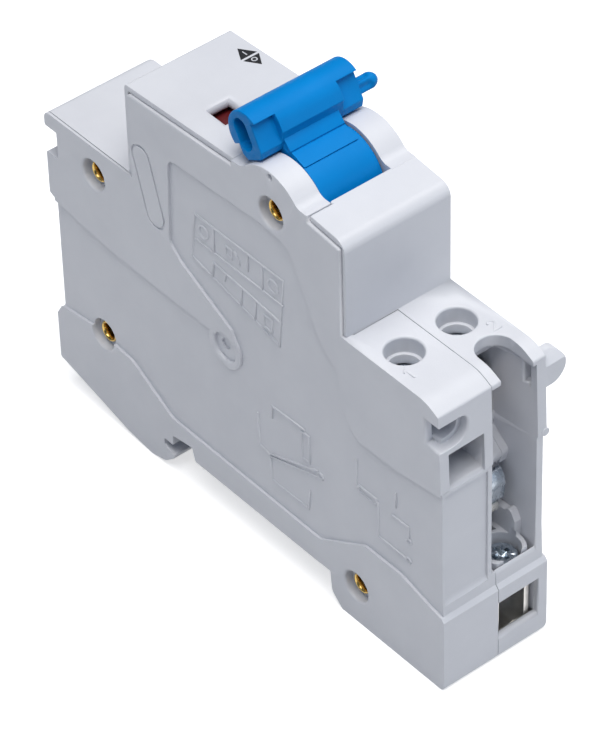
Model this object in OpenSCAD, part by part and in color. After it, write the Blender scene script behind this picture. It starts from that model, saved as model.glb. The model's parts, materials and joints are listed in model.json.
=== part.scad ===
// One-module shunt-trip unit with a lever, for a 35 mm rail.
// Millimetres. The origin is the middle of the rail seat, +Z leaves the rail, +X runs to the terminals,
// -Y is the cover side and +Y is the side that couples to a neighbour.

/* [Housing] */
// width across the module
body_w = 17.8; // [17.6:0.1:18]
// thickness of the two side walls
side_t = 1.5; // [1.4:0.1:1.6]
// height of the shoulders over the rail seat
shoulder_z = 43.3; // [42.9:0.1:43.6]
// height of the front over the rail seat, beside the lever
front_z = 59.2; // [58.9:0.1:59.4]
// drop of the front towards the label end
front_drop = 1.2; // [0.8:0.1:1.5]
// depth of the feet under the rail seat
foot_z = 4.9; // [4.6:0.1:5.2]
// depth of the waist that is sunk into both sides
relief = 0.4; // [0.15:0.05:0.45]
// width of the seam between the two shells
seam = 0.1; // [0.06:0.02:0.16]

/* [Lever] */
// tilt of the lever at rest, from upright towards the label
lever_tilt = 30; // [24:1:32]
// radius of the lever drum
drum_r = 6.4; // [6.1:0.05:6.45]
// outer radius of the two ears
ear_r = 6.75; // [6.6:0.05:6.8]
// half width of the slot between the ears
slot_half = 5; // [4.8:0.1:5.2]
// radius of the crown of the cross bar
crown_r = 3.35; // [3:0.05:3.5]
// distance from the axle to the centre of the crown
crown_reach = 10.5; // [10.2:0.1:11]
// radius of the coupling pin
coupling_r = 1.15; // [1:0.05:1.3]

/* [Rivets] */
// outer radius of a hollow rivet
rivet_r = 1.35; // [1.25:0.05:1.45]
// radius of the hole in a hollow rivet
rivet_hole_r = 1.1; // [0.8:0.05:1.1]
// radius of the rolled head
rivet_head_r = 1.6; // [1.6:0.05:1.9]
// radius of the sunk seat around a rivet head
seat_r = 2.35; // [2.1:0.05:2.5]

/* [Terminals] */
// radius of the screw access holes
access_r = 2.6; // [2.45:0.05:2.7]
// shank radius of the two control screws
ctrl_r = 1.5; // [1.4:0.05:1.6]
// shank radius of the lower screw
main_r = 1.75; // [1.65:0.05:1.8]
// head radius of all three screws
head_r = 2.35; // [2.2:0.05:2.4]
// thickness of the current bars
bar_t = 0.9; // [0.8:0.05:0.95]

/* [Trip coil] */
// radius of the plunger
plunger_r = 2.8; // [2.6:0.05:2.9]
// outer radius of the winding
winding_r = 6.2; // [5.6:0.1:6.4]
// thickness of the yoke
yoke_t = 1.2; // [1:0.1:1.3]
// length that the plunger travels
stroke = 3; // [2.5:0.1:3.2]

/* [Hidden] */
$fn = 64;
half = body_w / 2;
in_r = half - side_t;
in_l = -in_r;
fit = 0.05;

// where the raised front ends and the terminal block begins
split_x = 21.4;
// mid seam of the terminal block, and of the block under the channel
seam_l = -0.15;
seam_r = seam_l + seam;
low_l = 0.42;
low_r = low_l + seam;
sill_z = 10.4;
part_y = -1.5;

axle_x = 7.4;
axle_z = 55;
rivets = [[-30.1, 38.4], [-30.4, 10.2], [22.7, 1.2]];
boss_r = 3.2;
seat_d = 1.5;

// control terminals, then the lower terminal
ctrl_x = 27.9;
c1_y = -4.6;
c2_y = 4.1;
ctrl_head_z = 37.7;
ctrl_bar_z = 34.2;
main_x = 36.8;
main_y = 3.9;
main_head_z = 8;
main_bar_z = 3.6;

// trip coil, on the mid plane
coil_z = 22.5;
yoke_x0 = -37;
yoke_x1 = -9.8;
yoke_h = 8.1;
yoke_w = 6.5;
pads_x = [-33, -16.5];
bore_r = plunger_r + fit;

// pivots of the trip lever, the flag and the contact arm
trip_x = -5.5;
trip_z = 30;
trip_r = 8;
flag_x = -8.75;
flag_z = 46;
flag_r = 10.6;
arm_x = 9.5;
arm_z = 38;
pivot_r = 1;

white = [0.86, 0.87, 0.9];
blue = [0.0, 0.42, 0.8];
brass = [0.78, 0.62, 0.3];
steel = [0.7, 0.71, 0.73];
copper = [0.8, 0.45, 0.25];
dark = [0.25, 0.25, 0.27];

// Points of an outline [x, z, radius], with every corner turned into an arc of its radius.
function unit(v) = v / norm(v);
function flat(p) = [p[0], p[1]];
function turn(a) = a > 180 ? a - 360 : a < -180 ? a + 360 : a;
function arc_of(b, u, v, n) =
    let (half_a = acos(u * v) / 2)
    let (o = flat(b) + unit(u + v) * b[2] / sin(half_a))
    let (p = flat(b) + u * b[2] / tan(half_a) - o)
    let (q = flat(b) + v * b[2] / tan(half_a) - o)
    let (a0 = atan2(p[1], p[0]))
    let (da = turn(atan2(q[1], q[0]) - a0))
    [for (k = [0 : n]) o + b[2] * [cos(a0 + da * k / n), sin(a0 + da * k / n)]];
function corner(a, b, c, n) =
    b[2] > 0 ? arc_of(b, unit(flat(a) - flat(b)), unit(flat(c) - flat(b)), n) : [flat(b)];
function rounded(p, n = 4) =
    [for (i = [0 : len(p) - 1]) each corner(p[(i + len(p) - 1) % len(p)], p[i], p[(i + 1) % len(p)], n)];

// An (x, z) outline between two depths.
module slab(y0, y1) {
    translate([0, y1, 0])
        rotate([90, 0, 0])
            linear_extrude(y1 - y0)
                children();
}

// A (y, z) outline between two lengths.
module along(x0, x1) {
    translate([x0, 0, 0])
        rotate([90, 0, 90])
            linear_extrude(x1 - x0)
                children();
}

module box(x0, x1, y0, y1, z0, z1) {
    translate([x0, y0, z0])
        cube([x1 - x0, y1 - y0, z1 - z0]);
}

module rect(x0, x1, z0, z1) {
    translate([x0, z0])
        square([x1 - x0, z1 - z0]);
}

module rod_x(y, z, r, x0, x1) {
    translate([x0, y, z])
        rotate([0, 90, 0])
            cylinder(r = r, h = x1 - x0);
}

module rod_y(x, z, r, y0, y1) {
    translate([x, y0, z])
        rotate([-90, 0, 0])
            cylinder(r = r, h = y1 - y0);
}

module rod_z(x, y, r, z0, z1) {
    translate([x, y, z0])
        cylinder(r = r, h = z1 - z0);
}

// Things drawn upright on the axle: x is the way across the lever, z the way out from the axle.
module on_lever() {
    translate([axle_x, 0, axle_z])
        rotate([0, -lever_tilt, 0])
            children();
}

// A wire of radius w swept along a path whose turns lie around the z axis.
function wire_ring(path, i, w) =
    let (a = path[max(i - 1, 0)])
    let (b = path[min(i + 1, len(path) - 1)])
    let (t = unit(b - a))
    let (u = unit([0, 0, 1] - t[2] * t))
    let (v = cross(t, u))
    [for (k = [0 : 7]) path[i] + w * (cos(45 * k) * u + sin(45 * k) * v)];
function wire_side(i, k) =
    let (m = (k + 1) % 8)
    [[8 * i + k, 8 * i + 8 + k, 8 * i + m], [8 * i + m, 8 * i + 8 + k, 8 * i + 8 + m]];

module wire(path, w) {
    rings = [for (i = [0 : len(path) - 1]) each wire_ring(path, i, w)];
    sides = [for (i = [0 : len(path) - 2]) for (k = [0 : 7]) each wire_side(i, k)];
    last = 8 * len(path) - 8;
    caps = [[for (k = [0 : 7]) k], [for (k = [7 : -1 : 0]) last + k]];
    polyhedron(points = rings, faces = concat(sides, caps));
}

function helix(r, w, length, turns, n = 14) =
    [for (i = [0 : turns * n]) [r * cos(360 * i / n), r * sin(360 * i / n),
                                w + (length - 2 * w) * i / (turns * n)]];

// Side outline of the housing, without the ears, in stretches around the part.
foot_hook = [[-40.7, -0.4, 0.5], [-38.6, -0.85, 0], [-25.8, -4.2, 4], [-20.6, -foot_z, 2],
             [-17.6, -4.2, 2], [-15.7, -2.6, 0.8], [-15.35, -1.75, 0.2]];
rail_gap = [[-17.6, -1.2, 0.2], [-17.6, 0, 0.2], [-15.65, 0, 0.15], [-15.65, 1.7, 0.3], [-11.5, 2.4, 0.3],
            [-10.8, 0, 0], [15.5, 0, 0], [15.6, 0.3, 0], [17.5, 0.3, 0.2], [17.8, -3, 1.2]];
foot_end = [[19.8, -foot_z, 0.8], [40.2, -foot_z, 0.8], [40.2, 7.4, 0.2], [39.65, 8.1, 0.15]];
end_face = [[39.45, 14, 0], [39.45, 29.2, 0], [39.65, 29.5, 0.1],
            [39.2, shoulder_z - 1.15, 0.4], [36.8, shoulder_z, 6]];
raised = [[split_x - 0.05, shoulder_z, 0], [split_x, front_z - 0.8, 1.8], [14.2, front_z - 0.1, 4],
          [2, front_z, 8], [-22.4, front_z - front_drop, 0.6], [-22.4, shoulder_z, 0.3]];
label_end = [[-40.4, shoulder_z, 1.1], [-40.4, 40.9, 0.4], [-37.85, 40.9, 0.2], [-37.85, 36.5, 0.2],
             [-40.35, 36.5, 0.3], [-40.35, 29.4, 0.3], [-39.4, 29, 0], [-39.4, 9.9, 0], [-40.7, 7.7, 0.5]];

module body_2d() {
    polygon(rounded(concat(foot_hook, rail_gap, foot_end, end_face, raised, label_end)));
}

// The hollow between the walls, up to the terminal block.
floor_z = 1.6;
label_floor = 4;
module cavity_2d() {
    polygon([[-37.9, label_floor], [-9.4, label_floor], [-9, floor_z], [split_x + 1, floor_z],
             [split_x + 1, shoulder_z - 1.5], [19.9, shoulder_z - 1.5], [19.9, front_z - 2.2],
             [2, front_z - 1.6], [-20.9, front_z - front_drop - 1.5], [-20.9, shoulder_z - 1.5],
             [-36.3, shoulder_z - 1.5], [-36.3, 35], [-37.9, 34]]);
}

module block_zone_2d() {
    rect(split_x, 50, -10, 50);
}

// Edge strips of the raised front that frame the cover's side panel.
rim_t = 0.85;
rim_sink = 0.4;
rim_end = -0.2;
rim_start = 14.8;
module rim_2d(extra) {
    t = rim_t + extra;
    intersection() {
        body_2d();
        union() {
            polygon([[-23, shoulder_z], [-23, 62], [rim_end + extra, 62],
                     [rim_end + extra, front_z - t - 0.1], [-22.4 + t, front_z - front_drop - t],
                     [-22.4 + t, shoulder_z]]);
            polygon([[rim_start - extra, 62], [22, 62], [22, shoulder_z], [split_x - t + 0.3, shoulder_z],
                     [split_x - t + 0.3, front_z - 0.9 - t], [rim_start - extra, front_z - t - 0.2]]);
        }
    }
}

// Lap of the two shells along the top of the label shoulder.
lap_h = 1;
lap_y = 0.5 - half;
module lap_2d(extra) {
    intersection() {
        body_2d();
        rect(-45, -22.4 + rim_t + extra, shoulder_z - lap_h - extra, shoulder_z + extra);
    }
}

// An ear beside the lever, with its fillets into the front.
fillet_r = 2.2;
ear_base = front_z - 0.1;
fillet_z = ear_base + fillet_r - 0.02;
ear_dx = sqrt(pow(ear_r + fillet_r, 2) - pow(fillet_z - axle_z, 2));
ear_x0 = -0.1;
ear_x1 = 14.7;
module ear_2d() {
    difference() {
        union() {
            rect(ear_x0, ear_x1, 49, ear_base);
            rect(axle_x - ear_dx, axle_x + ear_dx, 49, front_z + 1);
        }
        for (side = [-1, 1])
            translate([axle_x + side * ear_dx, fillet_z])
                circle(fillet_r);
        translate([axle_x - 5, front_z + 0.6])
            square([10, 2]);
    }
    intersection() {
        translate([axle_x, axle_z])
            circle(ear_r);
        rect(axle_x - ear_r, axle_x + ear_r, front_z - 3, front_z + 5);
    }
}

// The sunk waist of a side.
waist = [[-46, 29.2, 0], [-27, 27.2, 6], [-8, 27, 0], [-0.4, 27.1, 0], [-1.8, 29.7, 1.2], [-11.9, 34.9, 2],
         [-14, 36.8, 1.2], [-13.5, 51.1, 1.4], [5.3, 52.1, 4], [10.8, 51.4, 2.5], [16.8, 39.4, 3],
         [19.9, 36.9, 2], [21.1, 30.6, 3], [23.4, 27.7, 1.5], [31, 27.8, 4], [46, 29.9, 0], [46, 8, 0],
         [39.65, 8, 0], [37.5, 8.4, 2], [31.7, 10, 2], [24.6, 10, 2], [15.5, 4.6, 3], [-15.6, 4.9, 3],
         [-24, 9.7, 3], [-32.7, 10.5, 4], [-46, 8.6, 0]];
disc_x = -3.2;
disc_z = 25.8;
disc_r = 3.3;
dish_r = 2.2;
dimple_r = 0.85;
module waist_2d() {
    difference() {
        polygon(rounded(waist));
        translate([disc_x, disc_z])
            circle(disc_r);
    }
}

// Seat and bore of the hollow rivets and of the lever axle, on both sides.
module rivet_cuts() {
    for (p = concat(rivets, [[axle_x, axle_z]])) {
        rod_y(p[0], p[1], rivet_r + fit, -half - 1, half + 1);
        rod_y(p[0], p[1], seat_r, -half - 1, seat_d - half);
        rod_y(p[0], p[1], seat_r, half - seat_d, half + 1);
    }
}

// Screw access from the platform: wide mouth, narrow throat, chamber of the head.
throat_z = 40.8;
chamber_z = 39.2;
notch_x = 35.2;
notch_y = 4.15;
notch_r = 2.7;
module access_cut(y) {
    rod_z(ctrl_x, y, access_r, throat_z, shoulder_z + 1);
    rod_z(ctrl_x, y, head_r - 0.2, chamber_z - 1, throat_z + 0.1);
}

// Way of the rail clip in the foot.
clip_half = 4.6;
clip_neck = 3.6;
clip_x0 = 15.8;
clip_x1 = 27;
clip_top = -1.35;
clip_ledge = -2.85;
spring_end = 32.3;
module clip_way() {
    box(16, spring_end, -clip_half - 0.2, clip_half + 0.2, clip_ledge - 0.05, clip_top + 0.2);
    box(16, clip_x1 + 2.8, -clip_neck - 0.2, clip_neck + 0.2, -foot_z - 1, clip_ledge + 0.1);
}

// Ends of the slot that the trip driver sweeps in the far wall.
sweep_a = 24;
slot_r = 1.35;
module driver_slot_2d() {
    translate([trip_x, trip_z]) {
        intersection() {
            difference() {
                circle(trip_r + slot_r);
                circle(trip_r - slot_r);
            }
            polygon([[0, 0], [0, 20], [-20 * tan(sweep_a), 20]]);
        }
        for (a = [0, sweep_a])
            translate([-trip_r * sin(a), trip_r * cos(a)])
                circle(slot_r - fit);
    }
}

// Window over the flag, and the slopes of its mouth.
window_x = [-10.5, -7];
window_y = [-4.15, -0.85];
funnel_z0 = front_z - 1.15;
funnel_z1 = front_z + 0.5;
module funnel_2d(span) {
    spread = funnel_z1 - funnel_z0;
    polygon([[span[0], funnel_z0], [span[1], funnel_z0], [span[1] + spread, funnel_z1],
             [span[0] - spread, funnel_z1]]);
}

// Hollows of the far half of the terminal block: control chamber with the open channel, space behind
// the partition, and the lower chamber.
module far_hollows_2d() {
    polygon([[31.2, sill_z], [39.15, sill_z], [39.75, sill_z - 0.8], [50, sill_z - 0.8], [50, 41.4],
             [31.2, 41.4], [31.2, chamber_z], [23, chamber_z], [23, 28.4], [31.4, 28.4], [31.4, 27],
             [31.2, 27]]);
    rect(split_x - 2, 29.6, floor_z, 27);
    polygon([[31.2, floor_z], [33.2, floor_z], [33.2, -2.8], [39.15, -2.8], [39.15, sill_z + 0.2],
             [31.2, sill_z + 0.2]]);
}

// Tab that locks into the neighbour, and the matching pocket on the cover side.
tab_x0 = 36.8;
tab_x1 = 39.15;
tab_z0 = 36.4;
tab_reach = 3.7;
module tab() {
    round_r = 2.6;
    intersection() {
        slab(in_r, half + 6)
            polygon([[tab_x0, tab_z0 - 1], [tab_x1, tab_z0 - 1], [tab_x1, 40], [37.8, 41.5], [tab_x0, 41.5]]);
        along(30, 45)
            union() {
                rect(in_r, half + tab_reach - round_r, tab_z0, tab_z0 + 2 * round_r);
                translate([half + tab_reach - round_r, tab_z0 + round_r])
                    circle(round_r);
            }
    }
}

pocket_z = [36.2, 40.2];
pocket_x = 38;
pocket_y = -4.1;
module tab_pocket() {
    // mouth in the end face, open to the side
    along(pocket_x, 45)
        polygon(rounded([[-half - 1, pocket_z[0], 0], [pocket_y, pocket_z[0], 2.2],
                         [pocket_y, pocket_z[1], 1.2], [-half - 1, pocket_z[1], 0]]));
    // side slot behind the mouth
    box(tab_x0 - 0.15, pocket_x + 0.1, -half - 1, -7.5, pocket_z[0], pocket_z[1]);
    // deep hole behind the mouth
    along(34.6, pocket_x + 0.1)
        polygon(rounded([[-7.6, 36.9, 0], [-4.8, 36.9, 1.6], [-4.8, 39.8, 0.8], [-7.6, 39.8, 0]]));
}

module right_shell() {
    color(white)
        difference() {
            union() {
                // far side wall
                slab(in_r, half)
                    body_2d();
                // walls all round, up to the cover's panel
                slab(in_l, in_r)
                    difference() {
                        body_2d();
                        cavity_2d();
                        block_zone_2d();
                    }
                // edge strips of the raised front
                slab(rim_sink - half, in_l)
                    rim_2d(0);
                // lap along the label shoulder
                slab(lap_y, in_l)
                    lap_2d(0);
                // far half of the terminal block, above and below the sill
                slab(seam_r, in_r)
                    difference() {
                        intersection() {
                            body_2d();
                            rect(split_x, 50, sill_z, 50);
                        }
                        far_hollows_2d();
                    }
                slab(low_r, in_r)
                    difference() {
                        intersection() {
                            body_2d();
                            rect(split_x, 50, -10, sill_z);
                        }
                        far_hollows_2d();
                    }
                // ear with the far bearing of the axle
                slab(slot_half, half)
                    ear_2d();
                // rivet bosses
                for (i = [0, 1])
                    rod_y(rivets[i][0], rivets[i][1], boss_r, -5.75, in_r + 0.5);
                rod_y(rivets[2][0], rivets[2][1], boss_r, low_r, in_r + 0.5);
                // pivot bosses
                rod_y(trip_x, trip_z, 2.2, 2.3, in_r + 0.5);
                rod_y(flag_x, flag_z, 2, 0, in_r + 0.5);
                rod_y(arm_x, arm_z, 2.4, -2.9, in_r + 0.5);
                // nest of the coil: ledges under and over the yoke, pads beside it, plunger stop
                box(-38.4, -10.5, -2, in_r + 0.5, coil_z - yoke_h - 1.2, coil_z - yoke_h);
                box(-38.4, -10.5, -2, in_r + 0.5, coil_z + yoke_h, coil_z + yoke_h + 1.2);
                for (x = pads_x)
                    box(x, x + 3, yoke_w, in_r + 0.5, coil_z - yoke_h - 0.5, coil_z + yoke_h + 0.5);
                rod_x(0, coil_z, 2, -38.5, -36.5);
                tab();
                // bead at the end of the far side
                rod_x(half - 0.25, 29.75, 0.6, 37.5, 39.75);
            }
            rivet_cuts();
            // room for the cover's boss in the floor
            rod_y(rivets[2][0], rivets[2][1], boss_r + seam, in_l - 1, low_l + seam / 2);
            // slot of the lever, and the cover's ear
            box(0.3, 14.4, -slot_half, slot_half, axle_z, front_z + 5);
            box(-0.2, ear_x1 + 0.1, -half - 1, -slot_half + 0.1, 48.9, front_z + 5);
            // window over the flag
            box(window_x[0], window_x[1], window_y[0], window_y[1], 54, front_z + 2);
            intersection() {
                slab(-half, half)
                    funnel_2d(window_x);
                along(-20, 0)
                    funnel_2d(window_y);
            }
            // control screw access, driver notch over the lower screw
            access_cut(c2_y);
            rod_z(notch_x, notch_y, notch_r, chamber_z - 0.2, shoulder_z + 1);
            box(notch_x, 45, notch_y - notch_r, notch_y + notch_r, chamber_z - 0.2, shoulder_z + 1);
            // bar slot in the chamber wall
            box(split_x - 1, 23.5, c2_y - 1.55, c2_y + 1.55, ctrl_bar_z, ctrl_bar_z + bar_t);
            // wire window with its lead-in
            box(38, 45, low_r - 0.2, in_r, -1.1, 4.9);
            slab(low_r - 0.2, in_r)
                polygon([[39.15, -0.6], [39.15, 0], [41, 0], [41, -1.9], [40.2, -1.45]]);
            clip_way();
            slab(in_r - 1, half + 1)
                driver_slot_2d();
            rod_y(trip_x, trip_z, pivot_r + 0.02, -1, in_r);
            rod_y(flag_x, flag_z, 0.82, -1, in_r);
            rod_y(arm_x, arm_z, pivot_r + 0.02, -4, in_r);
            // slot inside the wall by the tab
            box(36.8, 38.1, in_r - 1, in_r + 1.2, 37.2, 40.4);
            // sunk waist and rounded corner of the shoulder
            slab(half - relief, half + 1)
                waist_2d();
            difference() {
                box(-45, -38.91, half - 1.49, half + 1, 28, shoulder_z + 1);
                rod_z(-38.91, half - 1.49, 1.5, 27, shoulder_z + 2);
            }
            // rounded far edge of the foot
            difference() {
                box(17, 45, half - 1.49, half + 1, -foot_z - 1, 1.49 - foot_z);
                rod_x(half - 1.49, 1.49 - foot_z, 1.5, 16, 46);
            }
        }
}

// Hollows of the near half of the terminal block: control chamber with the wire mouth, space below.
module near_hollows_2d() {
    polygon([[23, 28.4], [31.4, 28.4], [31.4, 30], [37, 30], [50, 27.1], [50, 35.3], [32.4, 35.3],
             [32.4, chamber_z], [23, chamber_z]]);
    rect(split_x - 2, 37.9, floor_z, 27);
}

// An upright oval: a square with round ends.
oval_r = 2;
oval_l = 8.6;
module oval_2d(r) {
    square([2 * r, oval_l], center = true);
    for (side = [-1, 1])
        translate([0, side * oval_l / 2])
            circle(r);
}

panel_x = 39.15;
panel_y = [-8.1, -0.8];
cove_r = 1.3;
cove_z = 10.6;
module left_shell() {
    color(white)
        difference() {
            union() {
                // side panel
                slab(-half, in_l)
                    difference() {
                        body_2d();
                        rim_2d(seam);
                    }
                // near half of the terminal block, above and below the sill
                difference() {
                    union() {
                        slab(in_l, seam_l)
                            intersection() {
                                body_2d();
                                rect(split_x + seam, 50, sill_z, 50);
                            }
                        slab(in_l, low_l)
                            intersection() {
                                body_2d();
                                rect(split_x + seam, 50, -10, sill_z);
                            }
                    }
                    slab(in_l, part_y)
                        near_hollows_2d();
                    box(split_x - 1, 30, part_y - 1, 2, floor_z, 27);
                }
                // ear with the near bearing of the axle
                slab(-half, -slot_half)
                    ear_2d();
                // rivet bosses
                for (i = [0, 1])
                    rod_y(rivets[i][0], rivets[i][1], boss_r, in_l - 0.5, -5.8);
                rod_y(rivets[2][0], rivets[2][1], boss_r, in_l - 0.5, low_l);
                // pivot bosses and coil pads
                rod_y(trip_x, trip_z, 2.2, in_l - 0.5, -2.3);
                rod_y(flag_x, flag_z, 2, in_l - 0.5, -4.9);
                rod_y(arm_x, arm_z, 2.4, in_l - 0.5, -6.2);
                for (x = pads_x)
                    box(x, x + 3, in_l - 0.5, -yoke_w, coil_z - yoke_h, coil_z + yoke_h);
                // post that holds one end of the lever spring
                on_lever()
                    rod_y(0, -2.75, 0.45, -slot_half - 0.5, -4.45);
            }
            rivet_cuts();
            slab(lap_y - seam, in_l + 0.01)
                lap_2d(seam);
            access_cut(c1_y);
            box(split_x - 1, 23.5, c1_y - 1.55, c1_y + 1.55, ctrl_bar_z, ctrl_bar_z + bar_t);
            tab_pocket();
            // sloped sill of the wire mouth, sunk end panel with its cove
            slab(in_l, part_y)
                polygon([[38.8, 29.8], [39.7, 28.9], [41, 28.9], [41, 30.5], [38.8, 30.5]]);
            box(panel_x, 41, panel_y[0], panel_y[1], cove_z, 28.5);
            rod_y(panel_x + cove_r + 0.01, cove_z, cove_r, panel_y[0], panel_y[1]);
            clip_way();
            rod_y(trip_x, trip_z, pivot_r + 0.02, in_l, 0);
            rod_y(flag_x, flag_z, 0.82, in_l, 0);
            rod_y(arm_x, arm_z, pivot_r + 0.02, in_l, 0);
            // sunk waist, dished disc, groove around a bare oval, pin mark of the ear
            slab(-half - 1, relief - half)
                waist_2d();
            rod_y(disc_x, disc_z, dish_r, -half - 1, relief - half + 0.1);
            rod_y(disc_x - 0.25, disc_z + 0.25, dimple_r, -half - 1, relief - half + 0.4);
            slab(-half - 1, 0.2 - half)
                translate([-17.95, 43.8])
                    rotate(16.5)
                        difference() {
                            oval_2d(oval_r);
                            oval_2d(oval_r - 0.35);
                        }
            rod_y(axle_x + 0.15, axle_z + 5.9, 0.45, -half - 1, 0.5 - half);
        }
}

module hollow_rivet(x, z) {
    difference() {
        union() {
            rod_y(x, z, rivet_r, seat_d - half - 0.2, half - seat_d + 0.2);
            rod_y(x, z, rivet_head_r, seat_d - half - 0.5, seat_d - half);
            rod_y(x, z, rivet_head_r, half - seat_d, half - seat_d + 0.5);
        }
        rod_y(x, z, rivet_hole_r, -half, half);
    }
}

module housing_rivets() {
    color(brass)
        for (p = rivets)
            hollow_rivet(p[0], p[1]);
}

module lever_axle() {
    color(brass)
        hollow_rivet(axle_x, axle_z);
}

// Cross bar in the lever's own plane: crown circle with two tangents to the narrow foot.
bar_foot = 7;
function tangent(p, side) =
    let (a = atan2(p[1], p[0]) + side * acos(crown_r / norm(p)))
    crown_r * [cos(a), sin(a)];
module cross_bar_2d() {
    front_p = [1.44, bar_foot - crown_reach];
    back_p = [-1.36, bar_foot - crown_reach];
    translate([0, crown_reach])
        difference() {
            union() {
                circle(crown_r);
                polygon([front_p, tangent(front_p, 1), tangent(back_p, -1), back_p]);
            }
            rect(-crown_r - 1, -2.1, -5, -1.2);
        }
}

drum_half = 4.75;
drum_far = 4.8;
neck_far = 3.9;
bar_y0 = -8.3;
bar_y1 = 8.4;
pin_p = 0.3;
pin_a = 9.25;
root_r = coupling_r + 0.3;
root_y = 5.4;
rib_y = bar_y0 + 1.2;
module lever() {
    color(blue)
        on_lever()
            difference() {
                union() {
                    rod_y(0, 0, drum_r, -drum_half, drum_far);
                    slab(-drum_half, neck_far)
                        difference() {
                            polygon([[-1.4, 4], [3.4, 4], [3.4, 7], [2.15, 9.5], [-1.4, 9.5]]);
                            translate([4.6, 7.7])
                                circle(2.5);
                        }
                    slab(bar_y0, bar_y1)
                        cross_bar_2d();
                    slab(-slot_half, slot_half)
                        polygon([[0, 8.9], [2.9, 8.9], [crown_r, 9.3], [crown_r, crown_reach],
                                 [0, crown_reach]]);
                    // step across the drum
                    slab(-drum_half, neck_far)
                        polygon([[2.4, 5], [3.7, 5], [3.6, 5.75], [2.7, 6.2]]);
                }
                rod_y(0, 0, rivet_r + fit, -9, 9);
                // set-back front of both ends
                for (y = [-9, slot_half])
                    box(2.2, 6, y, y + 4, 5, 11.9);
                // slot in the near end, with a rib across its foot
                difference() {
                    slab(bar_y0 - 1, bar_y0 + 6) {
                        rect(-1.7, 0.75, 9.45, 11.55);
                        for (a = [9.45, 11.55])
                            translate([-0.475, a])
                                circle(1.225);
                    }
                    box(-3, 2, rib_y, bar_y0 + 7, 8.85, 9.25);
                }
                // nest of the return spring and of its leg
                difference() {
                    rod_y(0, 0, 3.6, -drum_half - 1, -2.1);
                    rod_y(0, 0, 1.95, -drum_half - 2, 0);
                }
                box(-0.5, 0.5, -2.9, -2.1, -5, -2);
                // socket of the coupling pin
                rod_y(pin_p, pin_a, root_r + 0.02, root_y, bar_y1 + 1);
            }
}

module coupling_pin() {
    step = bar_y1 + 0.2;
    tip = bar_y1 + 4;
    color(blue)
        on_lever()
            translate([pin_p, 0, pin_a])
                rotate([-90, 0, 0])
                    rotate_extrude()
                        polygon([[0, root_y], [root_r, root_y], [root_r, step], [coupling_r, step],
                                 [coupling_r, tip - 1], [coupling_r - 0.2, tip - 0.4], [0.55, tip],
                                 [0, tip]]);
}

// Three turns around the axle, with one leg bent outwards into the drum.
module lever_spring() {
    spring_r = 2.75;
    coils = [for (i = [0 : 42]) [spring_r * sin(360 * i / 14 + 20), spring_r * cos(360 * i / 14 + 20),
                                 0.32 + 1.6 * i / 42]];
    color(steel)
        on_lever()
            translate([0, -2.2, 0])
                rotate([90, 0, 0])
                    mirror([0, 1, 0])
                        wire(concat([[0, 4.8, 0.32], [0, spring_r + 0.4, 0.32]], coils), 0.28);
}

flag_a0 = -30;
flag_a1 = 11;
module indicator_flag() {
    y0 = -4.6;
    y1 = -0.3;
    color([0.45, 0.05, 0.07])
        translate([flag_x, 0, flag_z])
            difference() {
                union() {
                    rod_y(0, 0, 1.9, y0, y1);
                    slab(y0, y1)
                        intersection() {
                            difference() {
                                circle(flag_r);
                                circle(flag_r - 1.2);
                            }
                            polygon([[0, 0], [20 * tan(flag_a0), 20], [20 * tan(flag_a1), 20]]);
                        }
                    slab(y0 + 1, y1 - 1)
                        polygon([[-1.2, 0], [1.2, 0], [0.6, flag_r - 0.8], [-4, flag_r - 1.6]]);
                }
                rod_y(0, 0, 0.85, y0 - 1, y1 + 1);
            }
}

module flag_pin() {
    color(steel)
        rod_y(flag_x, flag_z, 0.8, in_l, in_r);
}

bob_x0 = yoke_x0 + yoke_t;
bob_x1 = yoke_x1 - yoke_t;
module coil_bobbin() {
    flange_r = yoke_h - yoke_t - 0.1;
    color(dark)
        difference() {
            union() {
                rod_x(0, coil_z, bore_r + 0.9, bob_x0, bob_x1);
                rod_x(0, coil_z, flange_r, bob_x0, bob_x0 + 1.2);
                rod_x(0, coil_z, flange_r, bob_x1 - 1.2, bob_x1);
            }
            rod_x(0, coil_z, bore_r, bob_x0 - 1, bob_x1 + 1);
            // soldering notches in the near flange
            box(bob_x1 - 1.3, bob_x1 + 0.1, -8, -5.4, coil_z - 1.5, coil_z + 1.5);
        }
}

module coil_winding() {
    color(copper)
        difference() {
            rod_x(0, coil_z, winding_r, bob_x0 + 1.2, bob_x1 - 1.2);
            rod_x(0, coil_z, bore_r + 0.9, bob_x0, bob_x1);
        }
}

neck_r = 2;
module coil_yoke() {
    color(steel)
        difference() {
            slab(-yoke_w, yoke_w)
                difference() {
                    rect(yoke_x0, yoke_x1, coil_z - yoke_h, coil_z + yoke_h);
                    rect(bob_x0, bob_x1, coil_z - yoke_h + yoke_t, coil_z + yoke_h - yoke_t);
                }
            rod_x(0, coil_z, plunger_r + 0.3, yoke_x0 - 1, bob_x0 + 0.1);
            rod_x(0, coil_z, neck_r, bob_x1 - 0.1, yoke_x1 + 1);
        }
}

core_x0 = -21;
well_x = -15;
rod_r = 0.95;
module coil_core() {
    color(steel)
        difference() {
            union() {
                rod_x(0, coil_z, plunger_r, core_x0, bob_x1);
                rod_x(0, coil_z, neck_r, bob_x1, yoke_x1);
            }
            rod_x(0, coil_z, 2.3, core_x0 - 1, well_x);
            rod_x(0, coil_z, rod_r + fit, well_x - 1, yoke_x1 + 1);
        }
}

plunger_x0 = -36.5;
plunger_x1 = core_x0 - stroke - 0.5;
module plunger() {
    color(steel)
        difference() {
            rod_x(0, coil_z, plunger_r, plunger_x0, plunger_x1);
            rod_x(0, coil_z, rod_r, plunger_x1 - 3, plunger_x1 + 1);
        }
}

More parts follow.
